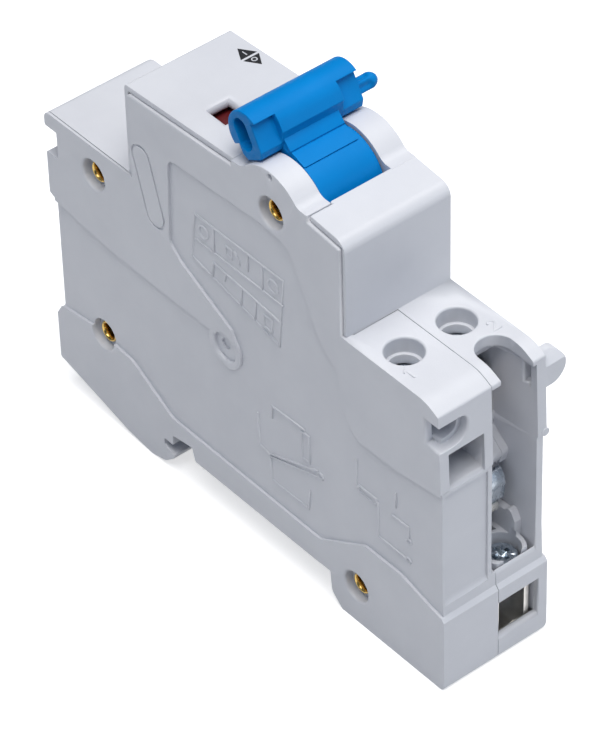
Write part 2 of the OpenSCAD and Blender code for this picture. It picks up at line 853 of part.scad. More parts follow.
module push_rod() {
    length = trip_x - 1.55 - plunger_x1 + 3;
    color(brass)
        translate([plunger_x1 - 3, 0, coil_z])
            rotate([0, 90, 0])
                rotate_extrude()
                    polygon([[0, 0], [rod_r, 0], [rod_r, length - 0.6], [0.45, length], [0, length]]);
}

module plunger_spring() {
    color(steel)
        translate([plunger_x1, 0, coil_z])
            rotate([0, 90, 0])
                wire(helix(1.7, 0.22, well_x - plunger_x1, 7), 0.22);
}

// Bell crank: the lower arm meets the push rod, the upper arm carries the driver.
module trip_lever() {
    color(white)
        difference() {
            union() {
                rod_y(trip_x, trip_z, 2.2, -2, 2);
                slab(-2, 2)
                    polygon([[trip_x - 1.3, trip_z], [trip_x - 1.3, coil_z - 2], [trip_x + 0.7, coil_z - 2],
                             [trip_x + 1.3, trip_z]]);
                slab(-2, 2)
                    polygon([[trip_x - 1.6, trip_z], [trip_x + 1.6, trip_z], [trip_x + 1.3, trip_z + trip_r],
                             [trip_x - 1.3, trip_z + trip_r]]);
                rod_y(trip_x, trip_z + trip_r, 1.8, -2, 2);
            }
            rod_y(trip_x, trip_z, pivot_r + fit, -3, 3);
            rod_y(trip_x, trip_z + trip_r, pivot_r, -1, 3);
        }
}

module trip_pin() {
    color(steel)
        rod_y(trip_x, trip_z, pivot_r, in_l, in_r);
}

module trip_driver() {
    color(steel) {
        rod_y(trip_x, trip_z + trip_r, pivot_r, -1, half + 0.1);
        rod_y(trip_x, trip_z + trip_r, pivot_r - 0.2, half, half + 2.2);
    }
}

tip_x = 17.3;
contact_t = 0.8;
arm_low = ctrl_bar_z + bar_t + 2 * contact_t;
module contact_arm() {
    color(copper)
        difference() {
            union() {
                rod_y(arm_x, arm_z, 2, -6, -3.2);
                slab(-6, -3.2)
                    polygon([[arm_x, arm_z - 1.4], [tip_x - 1.5, arm_low], [tip_x + 1.3, arm_low],
                             [tip_x + 1.3, arm_low + 0.9], [tip_x - 1.3, arm_low + 0.9],
                             [arm_x, arm_z + 1.4]]);
                slab(-6, -3.2)
                    polygon([[arm_x - 1.3, arm_z], [arm_x + 1.3, arm_z], [arm_x + 0.4, arm_z + 8],
                             [arm_x - 0.9, arm_z + 8]]);
            }
            rod_y(arm_x, arm_z, pivot_r + fit, -8, 0);
        }
}

module contact_tip() {
    color(steel)
        rod_z(tip_x, c1_y, 1.1, arm_low - contact_t, arm_low);
}

module contact_pin() {
    color(steel)
        rod_y(arm_x, arm_z, pivot_r, in_l, in_r);
}

module fixed_contact() {
    color(steel)
        rod_z(tip_x, c1_y, 1.1, ctrl_bar_z + bar_t, arm_low - contact_t);
}

// Tongue, lug and collar in the open channel, on one plate along the far wall.
collar_z0 = 8.2;
collar_z1 = 10.7;
plate_y = in_r - 1.1;
module terminal_insert() {
    color(white)
        difference() {
            union() {
                slab(plate_y, in_r)
                    polygon(rounded([[31.2, collar_z0, 0], [36.6, collar_z0, 0], [36.7, 13.3, 0.6],
                                     [35.6, 15.2, 0.6], [34.7, 14.2, 0.3], [32.4, 14.2, 0],
                                     [32.4, 21.6, 0], [33.6, 21.4, 0.6],
                                     [34.3, 23.8, 0.8], [31.2, 26.4, 0]]));
                slab(3.4, in_r)
                    polygon(rounded([[31.2, 23.9, 0], [33.2, 21.5, 0.5], [34.3, 23.6, 0.9],
                                     [31.2, 26.2, 0]]));
                rod_z(main_x, main_y, 3.35, collar_z0, collar_z1);
                box(31.2, 34.5, 1.6, 2.4, collar_z0, collar_z1);
                box(31.2, 36, 5.6, plate_y + 0.5, collar_z0, collar_z1);
            }
            rod_z(main_x, main_y, head_r + 0.3, collar_z0 - 1, collar_z1 + 1);
            box(39, 45, 0, 9, 0, 20);
        }
}

module pan_screw(x, y, r, head_z, head_h, tip_z) {
    rod_z(x, y, r, tip_z, head_z + 0.1);
    translate([x, y, head_z])
        rotate_extrude()
            polygon([[0, 0], [head_r, 0], [head_r, head_h - 0.35], [head_r - 0.35, head_h], [0, head_h]]);
}

module screw_c1() {
    color(steel)
        pan_screw(ctrl_x, c1_y, ctrl_r, ctrl_head_z, 1.3, ctrl_bar_z + bar_t + 0.05);
}

module screw_c2() {
    color(steel)
        pan_screw(ctrl_x, c2_y, ctrl_r, ctrl_head_z, 1.3, ctrl_bar_z + bar_t + 0.05);
}

module screw_lower() {
    color(steel)
        pan_screw(main_x, main_y, main_r, main_head_z, 1.4, main_bar_z + 1.05);
}

// A clamp cage: a loop around the current bar and the wire, with the thread in its top.
module cage(x0, x1, y, w, z0, z1, t, top_t, hole, hole_r) {
    difference() {
        along(x0, x1)
            difference() {
                rect(y - w, y + w, z0, z1);
                rect(y - w + t, y + w - t, z0 + 1, z1 - top_t);
            }
        rod_z(hole[0], hole[1], hole_r + fit, z1 - top_t - 1, z1 + 1);
    }
}

module cage_c1() {
    color(brass)
        cage(24.9, 30.9, c1_y + 0.1, 2.75, 28.9, 36.3, 0.6, 1, [ctrl_x, c1_y], ctrl_r);
}

module cage_c2() {
    color(brass)
        cage(24.9, 30.9, c2_y, 2.75, 28.9, 36.3, 0.6, 1, [ctrl_x, c2_y], ctrl_r);
}

module cage_lower() {
    color(steel)
        cage(33.8, 38.95, main_y, 3, -2.5, 6.1, 0.85, 1.2, [main_x, main_y], main_r);
}

module bar_c1() {
    color(copper)
        box(16, 31.2, c1_y - 1.55, c1_y + 1.55, ctrl_bar_z, ctrl_bar_z + bar_t);
}

module bar_c2() {
    color(copper)
        box(18.6, 31.2, c2_y - 1.55, c2_y + 1.55, ctrl_bar_z, ctrl_bar_z + bar_t);
}

// Bar of the lower terminal: through the cage, up the partition and out again under the strap.
module bar_lower() {
    color(steel)
        slab(main_y - 1.4, main_y + 1.4)
            polygon([[31.2, main_bar_z], [39.05, main_bar_z], [39.05, main_bar_z + 1], [32.2, main_bar_z + 1],
                     [32.2, 15], [34.8, 15], [34.8, 16.4], [31.2, 16.4]]);
}

module lower_strap() {
    color(steel)
        slab(main_y - 1.8, plate_y)
            polygon(rounded([[33.3, 16.4, 0], [34.6, 16.4, 0], [34.9, 19.6, 2], [34, 21.3, 0.5],
                             [33.1, 21, 0.3], [33.7, 19.4, 1]]));
}

module rail_clip() {
    color(dark)
        difference() {
            union() {
                box(clip_x0 + 1.9, clip_x1, -clip_half, clip_half, clip_ledge, clip_top);
                box(clip_x0 + 1.9, clip_x1, -clip_neck, clip_neck, -foot_z + 0.3, clip_ledge);
                slab(-clip_neck, clip_neck)
                    polygon([[clip_x0, clip_top], [clip_x0 + 2, clip_top], [clip_x0 + 2, -foot_z + 0.3],
                             [clip_x0 + 1.6, -foot_z + 0.3], [clip_x0, clip_top - 1]]);
            }
            // pry slot for a screwdriver
            box(23.5, 25, -2.5, 2.5, -foot_z, -foot_z + 1.6);
        }
}

module clip_spring() {
    color(steel)
        translate([clip_x1, 0, (clip_top + clip_ledge) / 2])
            rotate([0, 90, 0])
                wire(helix(0.55, 0.15, spring_end - clip_x1, 8, 10), 0.15);
}

right_shell();
left_shell();
housing_rivets();
lever_axle();
lever();
coupling_pin();
lever_spring();
indicator_flag();
flag_pin();
coil_bobbin();
coil_winding();
coil_yoke();
coil_core();
plunger();
push_rod();
plunger_spring();
trip_lever();
trip_pin();
trip_driver();
contact_arm();
contact_tip();
contact_pin();
fixed_contact();
terminal_insert();
screw_c1();
screw_c2();
screw_lower();
cage_c1();
cage_c2();
cage_lower();
bar_c1();
bar_c2();
bar_lower();
lower_strap();
rail_clip();
clip_spring();
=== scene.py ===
# %% [markdown]
# # A one-module rail device with a blue lever
#
# This lesson dresses a finished CAD assembly in Blender. The solids already have the right size and
# place, so nothing here is fitted by eye: each new surface is computed in the CAD frame, in millimetres,
# and written in metres. The order is: the frame, shared shader groups, finishes, softened mouldings,
# helpers for surfaces, the neck of the lever, turned metal, pin and winding, springs, marks, and at the
# end camera, floor and light.

# %% Load the frame
import json
import math

import bmesh
import bpy
import numpy as np
from mathutils import Matrix, Vector

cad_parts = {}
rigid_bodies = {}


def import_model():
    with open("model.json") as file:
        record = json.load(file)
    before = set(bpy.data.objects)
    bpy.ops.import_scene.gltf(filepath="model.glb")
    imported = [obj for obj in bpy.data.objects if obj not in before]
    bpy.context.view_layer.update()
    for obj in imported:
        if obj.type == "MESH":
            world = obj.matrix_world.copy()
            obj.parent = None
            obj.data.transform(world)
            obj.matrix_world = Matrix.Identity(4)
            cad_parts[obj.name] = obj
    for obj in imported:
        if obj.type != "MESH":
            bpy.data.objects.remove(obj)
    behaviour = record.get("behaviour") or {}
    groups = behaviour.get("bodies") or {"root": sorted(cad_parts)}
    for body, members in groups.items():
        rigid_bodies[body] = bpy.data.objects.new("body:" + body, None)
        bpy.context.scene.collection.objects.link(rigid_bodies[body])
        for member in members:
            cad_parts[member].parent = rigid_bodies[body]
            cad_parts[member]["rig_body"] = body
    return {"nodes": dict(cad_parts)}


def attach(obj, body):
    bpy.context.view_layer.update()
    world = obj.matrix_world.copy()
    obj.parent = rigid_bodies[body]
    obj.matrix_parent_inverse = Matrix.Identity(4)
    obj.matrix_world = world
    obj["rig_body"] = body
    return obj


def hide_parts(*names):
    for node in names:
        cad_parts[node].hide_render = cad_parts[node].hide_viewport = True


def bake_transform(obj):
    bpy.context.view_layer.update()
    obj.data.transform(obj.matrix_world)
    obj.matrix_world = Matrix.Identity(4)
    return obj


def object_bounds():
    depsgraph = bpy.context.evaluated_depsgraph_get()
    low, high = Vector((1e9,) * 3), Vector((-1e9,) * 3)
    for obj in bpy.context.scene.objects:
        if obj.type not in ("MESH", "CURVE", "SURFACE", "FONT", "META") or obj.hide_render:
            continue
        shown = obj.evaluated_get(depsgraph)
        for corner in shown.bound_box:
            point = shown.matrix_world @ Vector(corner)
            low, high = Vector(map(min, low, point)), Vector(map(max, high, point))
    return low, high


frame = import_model()
nodes = frame["nodes"]
cad_box = [list(corner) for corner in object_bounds()]
MM = 0.001
FULL_TURN = 2 * math.pi


def box_of(node):
    """Low corner, middle and high corner of a CAD node in mm.

    They are rounded to a tenth, because the facets of a round piece stop just short of its circle.
    """
    corners = np.array(nodes[node].bound_box) / MM
    low, high = corners.min(0), corners.max(0)
    return np.round([low, (low + high) / 2, high], 1)


def placed(name, data):
    """A new object in the scene, at the origin."""
    made = bpy.data.objects.new(name, data)
    bpy.context.scene.collection.objects.link(made)
    return made


# %% [markdown]
# ## Shared shader groups
#
# Moulded plastic is not one colour: the tool's spark-eroded skin is a fine grain, and the melt leaves
# faint clouds. Plated metal has fine drawing lines and blotches. Both could be painted as images, but
# those need a UV map on every piece, so they are noise in space instead. Each effect is one node group
# that puts out only a height, a tone and a gloss, so every material can use it at its own scale. The
# patterns read Object coordinates, because all pieces sit at the origin of the same frame.


# %% Node helpers
def link(tree, a, b):
    """Joins an output socket to an input socket."""
    tree.links.new(a, b)


def add_noise(tree, vector, scale, detail, rough=0.55):
    """A noise texture whose scale is a number or a socket; returns its value output."""
    node = tree.nodes.new("ShaderNodeTexNoise")
    node.inputs["Detail"].default_value = detail
    node.inputs["Roughness"].default_value = rough
    link(tree, vector, node.inputs["Vector"])
    if isinstance(scale, (int, float)):
        node.inputs["Scale"].default_value = scale
    else:
        link(tree, scale, node.inputs["Scale"])
    return node.outputs["Fac"]


def add_range(tree, value, span, to=(0.0, 1.0)):
    """Maps one span (low, high) to another, clamped."""
    node = tree.nodes.new("ShaderNodeMapRange")
    for key, number in zip(("From Min", "From Max", "To Min", "To Max"), (*span, *to)):
        node.inputs[key].default_value = number
    link(tree, value, node.inputs["Value"])
    return node.outputs["Result"]


def add_math(tree, operation, a, b):
    """A math node on two sockets; returns its value output."""
    node = tree.nodes.new("ShaderNodeMath")
    node.operation = operation
    link(tree, a, node.inputs[0])
    link(tree, b, node.inputs[1])
    return node.outputs["Value"]


def new_group(name, inputs, outputs):
    """An empty shader group with float inputs {name: default} and float outputs."""
    tree = bpy.data.node_groups.new(name, "ShaderNodeTree")
    for key, value in inputs.items():
        socket = tree.interface.new_socket(key, in_out="INPUT", socket_type="NodeSocketFloat")
        socket.default_value = value
    for key in outputs:
        tree.interface.new_socket(key, in_out="OUTPUT", socket_type="NodeSocketFloat")
    return tree, tree.nodes.new("NodeGroupInput"), tree.nodes.new("NodeGroupOutput")


SKIN_OUTPUTS = ("Height", "Tone", "Gloss")
print("each skin group puts out:", ", ".join(SKIN_OUTPUTS))

# %% The two groups
NOISE_SPAN = (0.3, 0.7)
PRODUCT_SPAN = (0.12, 0.4)
GLOSS_PATCHES = 420.0
DRAWN_ALONG = (0.12, 1.0, 0.35)


def moulded_skin():
    """Height = fine noise, tone = slow noise, gloss = middle noise."""
    tree, start, end = new_group("moulded_skin", {"Grain": 5200.0, "Cloud": 90.0}, SKIN_OUTPUTS)
    place = tree.nodes.new("ShaderNodeTexCoord").outputs["Object"]
    grain = add_noise(tree, place, start.outputs["Grain"], 3.0)
    cloud = add_noise(tree, place, start.outputs["Cloud"], 4.0)
    patch = add_noise(tree, place, GLOSS_PATCHES, 3.0)
    link(tree, grain, end.inputs["Height"])
    link(tree, add_range(tree, cloud, NOISE_SPAN), end.inputs["Tone"])
    link(tree, add_range(tree, patch, NOISE_SPAN), end.inputs["Gloss"])
    return tree


def plated_skin():
    """Height = noise stretched into drawing lines, tone = blotches, gloss = lines times blotches."""
    tree, start, end = new_group("plated_skin", {"Lines": 2600.0, "Blotch": 500.0}, SKIN_OUTPUTS)
    place = tree.nodes.new("ShaderNodeTexCoord").outputs["Object"]
    stretch = tree.nodes.new("ShaderNodeMapping")
    stretch.inputs["Scale"].default_value = DRAWN_ALONG
    link(tree, place, stretch.inputs["Vector"])
    lines = add_noise(tree, stretch.outputs["Vector"], start.outputs["Lines"], 4.0, 0.65)
    blotch = add_noise(tree, place, start.outputs["Blotch"], 4.0)
    both = add_math(tree, "MULTIPLY", lines, blotch)
    link(tree, lines, end.inputs["Height"])
    link(tree, add_range(tree, blotch, NOISE_SPAN), end.inputs["Tone"])
    link(tree, add_range(tree, both, PRODUCT_SPAN), end.inputs["Gloss"])
    return tree


MOULDED = moulded_skin()
PLATED = plated_skin()
print("groups:", MOULDED.name, PLATED.name)

# %% [markdown]
# ## Finishes
#
# There are six plastics and nine metals. One colour with one roughness would do from far away, but close
# up it looks drawn, so all three things vary a little: each finish has two close colours that the group's
# tone mixes, a roughness range that its gloss runs through, and a bump of a few micrometres. Metal is
# fully metallic; the plastics differ in grain and gloss. What is the same all over a surface is set on
# the shader's own sockets.


# %% One material
def finish(name, group, low, high, rough, bump, metallic=0.0, specular=0.5, **scales):
    """A Principled material: colour from low to high by tone, roughness by gloss, bump by height."""
    made = bpy.data.materials.new(name + "_finish")
    made.use_nodes = True
    tree = made.node_tree
    shader = tree.nodes["Principled BSDF"]
    skin = tree.nodes.new("ShaderNodeGroup")
    skin.node_tree = group
    for key, value in scales.items():
        skin.inputs[key].default_value = value
    mix = tree.nodes.new("ShaderNodeMix")
    mix.data_type = "RGBA"
    mix.inputs["A"].default_value = (*low, 1)
    mix.inputs["B"].default_value = (*high, 1)
    link(tree, skin.outputs["Tone"], mix.inputs["Factor"])
    link(tree, mix.outputs["Result"], shader.inputs["Base Color"])
    link(tree, add_range(tree, skin.outputs["Gloss"], (0.0, 1.0), rough), shader.inputs["Roughness"])
    relief = tree.nodes.new("ShaderNodeBump")
    relief.inputs["Strength"].default_value = 1.0
    relief.inputs["Distance"].default_value = bump
    link(tree, skin.outputs["Height"], relief.inputs["Height"])
    link(tree, relief.outputs["Normal"], shader.inputs["Normal"])
    shader.inputs["Metallic"].default_value = metallic
    shader.inputs["Specular IOR Level"].default_value = specular
    return made


# %% Plastics and metals
# Columns: darker colour, lighter colour, least and most roughness, depth of the bump in metres.
PLASTICS = {
    "housing_grey": ((0.595, 0.606, 0.65), (0.635, 0.646, 0.688), (0.34, 0.44), 1.2e-5),
    "inner_plastic": ((0.53, 0.54, 0.56), (0.58, 0.59, 0.61), (0.36, 0.5), 1.2e-5),
    "lever_blue": ((0.0, 0.185, 0.52), (0.0, 0.202, 0.56), (0.42, 0.55), 1.6e-5),
    "flag_red": ((0.09, 0.008, 0.01), (0.12, 0.011, 0.013), (0.35, 0.5), 1e-5),
    "bobbin_black": ((0.016, 0.016, 0.018), (0.024, 0.024, 0.027), (0.4, 0.55), 1e-5),
    "clip_grey": ((0.11, 0.115, 0.125), (0.135, 0.14, 0.15), (0.38, 0.5), 1.4e-5),
}
METALS = {
    "rivet_brass": ((0.62, 0.41, 0.11), (0.74, 0.51, 0.17), (0.18, 0.32), 3e-6),
    "spring_steel": ((0.52, 0.53, 0.55), (0.6, 0.61, 0.62), (0.22, 0.36), 2e-6),
    "pin_steel": ((0.56, 0.57, 0.59), (0.63, 0.64, 0.65), (0.2, 0.32), 2e-6),
    "winding_copper": ((0.45, 0.17, 0.07), (0.58, 0.24, 0.1), (0.25, 0.4), 6e-6),
    "zinc_steel": ((0.5, 0.56, 0.62), (0.64, 0.69, 0.74), (0.2, 0.36), 4e-6),
    "bar_copper": ((0.62, 0.3, 0.17), (0.74, 0.4, 0.25), (0.25, 0.4), 3e-6),
    "contact_silver": ((0.78, 0.77, 0.74), (0.86, 0.85, 0.82), (0.2, 0.32), 2e-6),
    "cage_nickel": ((0.66, 0.64, 0.6), (0.78, 0.76, 0.72), (0.3, 0.44), 1.5e-6),
    "bar_nickel": ((0.66, 0.65, 0.62), (0.78, 0.77, 0.74), (0.16, 0.3), 3e-6),
}
# The lever's plastic is coarser and more matt than the housing's.
OWN_SKIN = {"lever_blue": {"specular": 0.1, "Grain": 4200.0, "Cloud": 160.0}}
FINISH = {name: finish(name, MOULDED, *facts, **OWN_SKIN.get(name, {})) for name, facts in PLASTICS.items()}
FINISH |= {name: finish(name, PLATED, *facts, metallic=1.0) for name, facts in METALS.items()}
slot_of = {name: o.data.materials[0].name.split(".")[0] for name, o in nodes.items()}
for name, o in nodes.items():
    o.data.materials[0] = FINISH[slot_of[name]]
print("finishes:", len(FINISH))

# %% [markdown]
# ## Softened mouldings
#
# A moulding has no knife edges: every outer edge has a small radius, and it is the bright line along that
# radius that tells the eye "plastic". The CAD solids are sharp. The radii could be modelled there, at the
# price of many thin facets, or faked in the shader, which no exported mesh keeps. So each visible
# moulding is copied, its loose triangles are merged, flat triangles are dissolved into whole faces, and a
# Bevel modifier rounds the convex edges. First come the copy and a list of what meets at every corner of
# its faces.

# %% A merged copy and its corners
MERGE = 2e-6
FLAT = math.radians(0.4)


def read(items, key, width=1, kind=float):
    """One number, or one row of width numbers, per item of a mesh."""
    values = np.empty(len(items) * width, kind)
    items.foreach_get(key, values)
    return values.reshape(-1, width) if width > 1 else values


def dot(a, b):
    """Row by row, the sum of products."""
    return np.einsum("ij,ij->i", a, b)


def merged_copy(node):
    """The node's loose triangles as one skin of whole faces; past four corners a face is split again."""
    mesh = nodes[node].data.copy()
    mesh.name = node + "_moulding"
    if "custom_normal" in mesh.attributes:
        mesh.attributes.remove(mesh.attributes["custom_normal"])
    work = bmesh.new()
    work.from_mesh(mesh)
    bmesh.ops.remove_doubles(work, verts=work.verts, dist=MERGE)
    bmesh.ops.dissolve_limit(work, angle_limit=FLAT, use_dissolve_boundaries=False,
                             verts=work.verts, edges=work.edges)
    bmesh.ops.triangulate(work, faces=[f for f in work.faces if len(f.verts) > 4], ngon_method="BEAUTY")
    work.to_mesh(mesh)
    work.free()
    mesh.shade_smooth()
    return mesh


def corner_facts(mesh):
    """Per face corner: edge, face, corners before and after, the edge's vector and the inner angle there.

    The angle is atan2(sine, cosine) from the edge that leaves to the one that came, seen along the normal.
    """
    vert, edge = (read(mesh.loops, key, kind=np.int32) for key in ("vertex_index", "edge_index"))
    first, count = (read(mesh.polygons, key, kind=np.int32) for key in ("loop_start", "loop_total"))
    normal, co = read(mesh.polygons, "normal", 3), read(mesh.vertices, "co", 3)
    face, at = np.repeat(np.arange(len(count)), count), np.arange(len(vert))
    start, end = np.repeat(first, count), np.repeat(first + count, count)
    after = np.where(at + 1 == end, start, at + 1)
    before = np.where(at == start, end - 1, at - 1)
    along = co[vert[after]] - co[vert]
    back = -along[before]
    angle = np.mod(np.arctan2(dot(np.cross(along, back), normal[face]), dot(along, back)), FULL_TURN)
    return edge, face, before, after, along, angle


loose = sum(len(nodes[shell].data.polygons) for shell in ("left_shell", "right_shell"))
print("loose triangles of both shells:", loose)

# %% [markdown]
# How wide a rounding may be is worked out per edge. There are three bounds. It takes only a share of the
# narrower of the two faces. Where it meets another rounding, the mitre w / tan(angle / 2) at both ends
# has to leave some of the edge. Where it meets an edge that stays sharp, it slides along that edge by
# w / sin(angle), which has to stay under half its length.

# %% The room beside an edge
# A convex edge is soft past the first fold, and an edge is level below the second, in degrees.
FOLD, LEVEL = 28, 1
# Shares of a sharp neighbour's length and of the edge's own length that a rounding may take.
SHARP_SHARE, EDGE_SHARE = 0.45, 0.9
# These keep the divisions finite at very pointed or very open corners.
LEAST_ANGLE, LEAST_SINE, LEAST_EATEN, MOST_MITRE = 0.1, 0.15, 0.05, 8


def edge_limits(mesh, share):
    """Per edge: signed fold in degrees (positive where convex), length, and the least of the three bounds."""
    edge, face, before, after, along, angle = corner_facts(mesh)
    normal, area = read(mesh.polygons, "normal", 3), read(mesh.polygons, "area")
    order = np.argsort(edge, kind="stable")
    a, b = order[0::2], order[1::2]
    length = np.linalg.norm(along[a], axis=1)
    one, two = normal[face[a]], normal[face[b]]
    fold = np.degrees(np.arccos(np.clip(dot(one, two), -1, 1))) * np.sign(dot(np.cross(one, two), along[a]))
    soft = fold > FOLD
    sharp = ~soft & (np.abs(fold) >= LEVEL)
    limit = share * np.minimum(area[face[a]], area[face[b]]) / length
    # At its own corner an edge meets the one before it, and at the next corner the one after it.
    for end, other in ((np.arange(len(edge)), before), (after, after)):
        beside = edge[other]
        slide = SHARP_SHARE * length[beside] * np.clip(np.sin(angle[end]), LEAST_SINE, 1)
        np.minimum.at(limit, edge, np.where(sharp[beside], slide, np.inf))
    half = np.clip(angle, LEAST_ANGLE, FULL_TURN - LEAST_ANGLE) / 2
    mitre = np.clip(1 / np.tan(half), 0, MOST_MITRE)
    eaten = np.where(soft[edge[before]], mitre, 0) + np.where(soft[edge[after]], mitre[after], 0)
    np.minimum.at(limit, edge, EDGE_SHARE * length[edge] / np.maximum(eaten, LEAST_EATEN))
    return fold, length, limit


print("edges are rounded where they fold by more than", FOLD, "degrees")

# %% [markdown]
# Along a curved run the widths may not jump. Two offset lines that meet at a small turn cross far away if
# their widths differ, by (w1 - w2) / sin(turn). So every pair of soft edges at a vertex is asked to keep
# w1 <= w2 + give * sin(turn) * (the shorter length), again and again, until narrow places have spread.

# %% Even widths
GIVE = 0.25
CORNER = math.radians(65)
ROUNDS = 300


def evened(mesh, soft, length, width):
    """Widths that change slowly along a run of soft edges; a turn past the corner angle leaves both free."""
    ends, co = read(mesh.edges, "vertices", 2, np.int32), read(mesh.vertices, "co", 3)
    which = np.flatnonzero(soft)
    vert = ends[which].T.ravel()
    edge = np.concatenate([which, which])
    out = co[ends[which, 1]] - co[ends[which, 0]]
    out = np.concatenate([out, -out])
    order = np.argsort(vert, kind="stable")
    vert, edge, out = vert[order], edge[order], out[order]
    # Sorted by vertex, the ends that meet stand side by side: steps of 1 to 3 pair up to four of them.
    pairs = []
    for step in (1, 2, 3):
        same = np.flatnonzero(vert[step:] == vert[:-step])
        pairs.append(np.stack([same, same + step]))
    one, two = np.hstack(pairs)
    cosine = -dot(out[one], out[two]) / (length[edge[one]] * length[edge[two]])
    turn = np.arccos(np.clip(cosine, -1, 1))
    slack = GIVE * np.sin(turn) * np.minimum(length[edge[one]], length[edge[two]])
    slack = np.where(turn > CORNER, np.inf, slack)
    for _ in range(ROUNDS):
        np.minimum.at(width, edge[one], width[edge[two]] + slack)
        np.minimum.at(width, edge[two], width[edge[one]] + slack)
    return width


print("rounds of evening:", ROUNDS)

# %% [markdown]
# The radius comes from the moulding: 0.35 mm on the shells, less on small pieces. Two things are not the
# same all over. The rim of the outer side faces may take more of its face than other edges, and the seams
# between the two shells stay crisp, because there two cut edges meet.

# %% Soften the mouldings
SHARE, RIM_SHARE = 0.35, 0.7
ON_PLANE = 0.02
SEGMENTS = 2
HALF_WIDTH = -box_of("left_shell")[0][1]
RIM = {"left_shell": -HALF_WIDTH, "right_shell": HALF_WIDTH}
# Boxes around the seams: low corner, high corner and the most that an edge in it is rounded, in mm.
PLATFORM_SEAM = ((21, -0.6, 30), (42, 0.2, 44), 0.08)
SHOULDER_LAP = ((-41, -8.6, 42.9), (-22, -8.3, 43.8), 0.03)
PLATFORM_ROOT = ((21, -9.5, 43), (22.4, 1, 43.6), 0.06)
CRISP = {
    "left_shell": [PLATFORM_ROOT, PLATFORM_SEAM, SHOULDER_LAP],
    "right_shell": [PLATFORM_SEAM, SHOULDER_LAP],
}
SOFT = {
    "right_shell": 0.35, "left_shell": 0.35, "lever": 0.14, "terminal_insert": 0.2, "rail_clip": 0.25,
    "indicator_flag": 0.15, "cage_c1": 0.15, "cage_c2": 0.15, "cage_lower": 0.2, "bar_lower": 0.2,
    "bar_c1": 0.12, "bar_c2": 0.12, "lower_strap": 0.2, "trip_driver": 0.2,
}


def softened(node, radius):
    """A merged copy of a CAD node, its convex edges rounded to radius (mm) or as far as there is room.

    Returns how many edges are rounded.
    """
    mesh = merged_copy(node)
    middle = read(mesh.vertices, "co", 3)[read(mesh.edges, "vertices", 2, np.int32)].mean(1) / MM
    share = np.full(len(mesh.edges), SHARE)
    if node in RIM:
        share[np.abs(middle[:, 1] - RIM[node]) < ON_PLANE] = RIM_SHARE
    fold, length, limit = edge_limits(mesh, share)
    limit = np.minimum(limit, radius * MM)
    for low, high, most in CRISP.get(node, []):
        inside = np.all((middle > low) & (middle < high), axis=1)
        limit[inside] = np.minimum(limit[inside], most * MM)
    soft = fold > FOLD
    weight = np.where(soft, evened(mesh, soft, length, limit) / (radius * MM), 0).astype(np.float32)
    mesh.attributes.new("bevel_weight_edge", "FLOAT", "EDGE").data.foreach_set("value", weight)
    layer = mesh.attributes.get("sharp_edge") or mesh.attributes.new("sharp_edge", "BOOLEAN", "EDGE")
    layer.data.foreach_set("value", (np.abs(fold) > FOLD) & (weight == 0))
    made = placed(mesh.name, mesh)
    rounding = made.modifiers.new("rounding", "BEVEL")
    rounding.limit_method = "WEIGHT"
    rounding.width = radius * MM
    rounding.segments = SEGMENTS
    rounding.loop_slide = False
    rounding.use_clamp_overlap = False
    even = made.modifiers.new("even_normals", "WEIGHTED_NORMAL")
    even.keep_sharp = True
    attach(made, nodes[node]["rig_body"])
    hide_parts(node)
    return int(soft.sum())


rounded = {node: softened(node, radius) for node, radius in SOFT.items()}
print("rounded edges:", rounded)

# %% [markdown]
# ## Helpers for surfaces
#
# All other pieces are surfaces of two parameters. They could be modelled by hand, but a formula is exact
# and easy to change. Sampled on a grid, such a surface is an array of points, and the quads between
# neighbouring samples are only index arithmetic, so both are made as whole arrays. A row of equal points,
# such as the pole of a dome, is merged afterwards, and the normals are then turned outwards.


# %% Grids and pieces
def surface(points):
    """A grid of points that closes around its columns, with the corner numbers of its quads.

    Point (i, j) has number i * cols + j, and the column after the last one is the first.
    """
    rows, cols = points.shape[:2]
    i, j = np.meshgrid(np.arange(rows - 1), np.arange(cols), indexing="ij")
    k = (j + 1) % cols
    corners = [i * cols + j, i * cols + k, (i + 1) * cols + k, (i + 1) * cols + j]
    return points, np.stack(corners, -1).reshape(-1, 4)


def close_up(mesh):
    """Merges points that coincide, so poles and seams close, and turns the faces outwards."""
    work = bmesh.new()
    work.from_mesh(mesh)
    bmesh.ops.remove_doubles(work, verts=work.verts, dist=MERGE)
    bmesh.ops.recalc_face_normals(work, faces=work.faces)
    work.to_mesh(mesh)
    work.free()


def piece(name, surfaces, slot, body, crease=40):
    """One object from surfaces in mm, smooth where it folds by less than crease degrees.

    It has the finish of its slot, and rides on a CAD body if one is given.
    """
    points, faces, start = [], [], 0
    for p, f in surfaces:
        points.append(p.reshape(-1, 3))
        faces.extend((f + start).tolist())
        start += len(points[-1])
    mesh = bpy.data.meshes.new(name)
    mesh.from_pydata((np.vstack(points) * MM).tolist(), [], faces)
    close_up(mesh)
    mesh.shade_smooth()
    mesh.set_sharp_from_angle(angle=math.radians(crease))
    mesh.materials.append(FINISH[slot])
    made = placed(name, mesh)
    if body:
        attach(made, body)
    return made


def stand_in(name, surfaces, node, crease=40):
    """A piece that takes a CAD node's place, on the same body and with the same finish."""
    made = piece(name, surfaces, slot_of[node], nodes[node]["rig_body"], crease)
    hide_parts(node)


def smoothstep(low, high, x):
    """0 below low, 1 above high and a cubic between them: t * t * (3 - 2 t) with t the share of the way."""
    t = np.clip((x - low) / (high - low), 0, 1)
    return t * t * (3 - 2 * t)


print("quads of a tube with 3 rows of 8 points:", len(surface(np.zeros((3, 8, 3)))[1]))

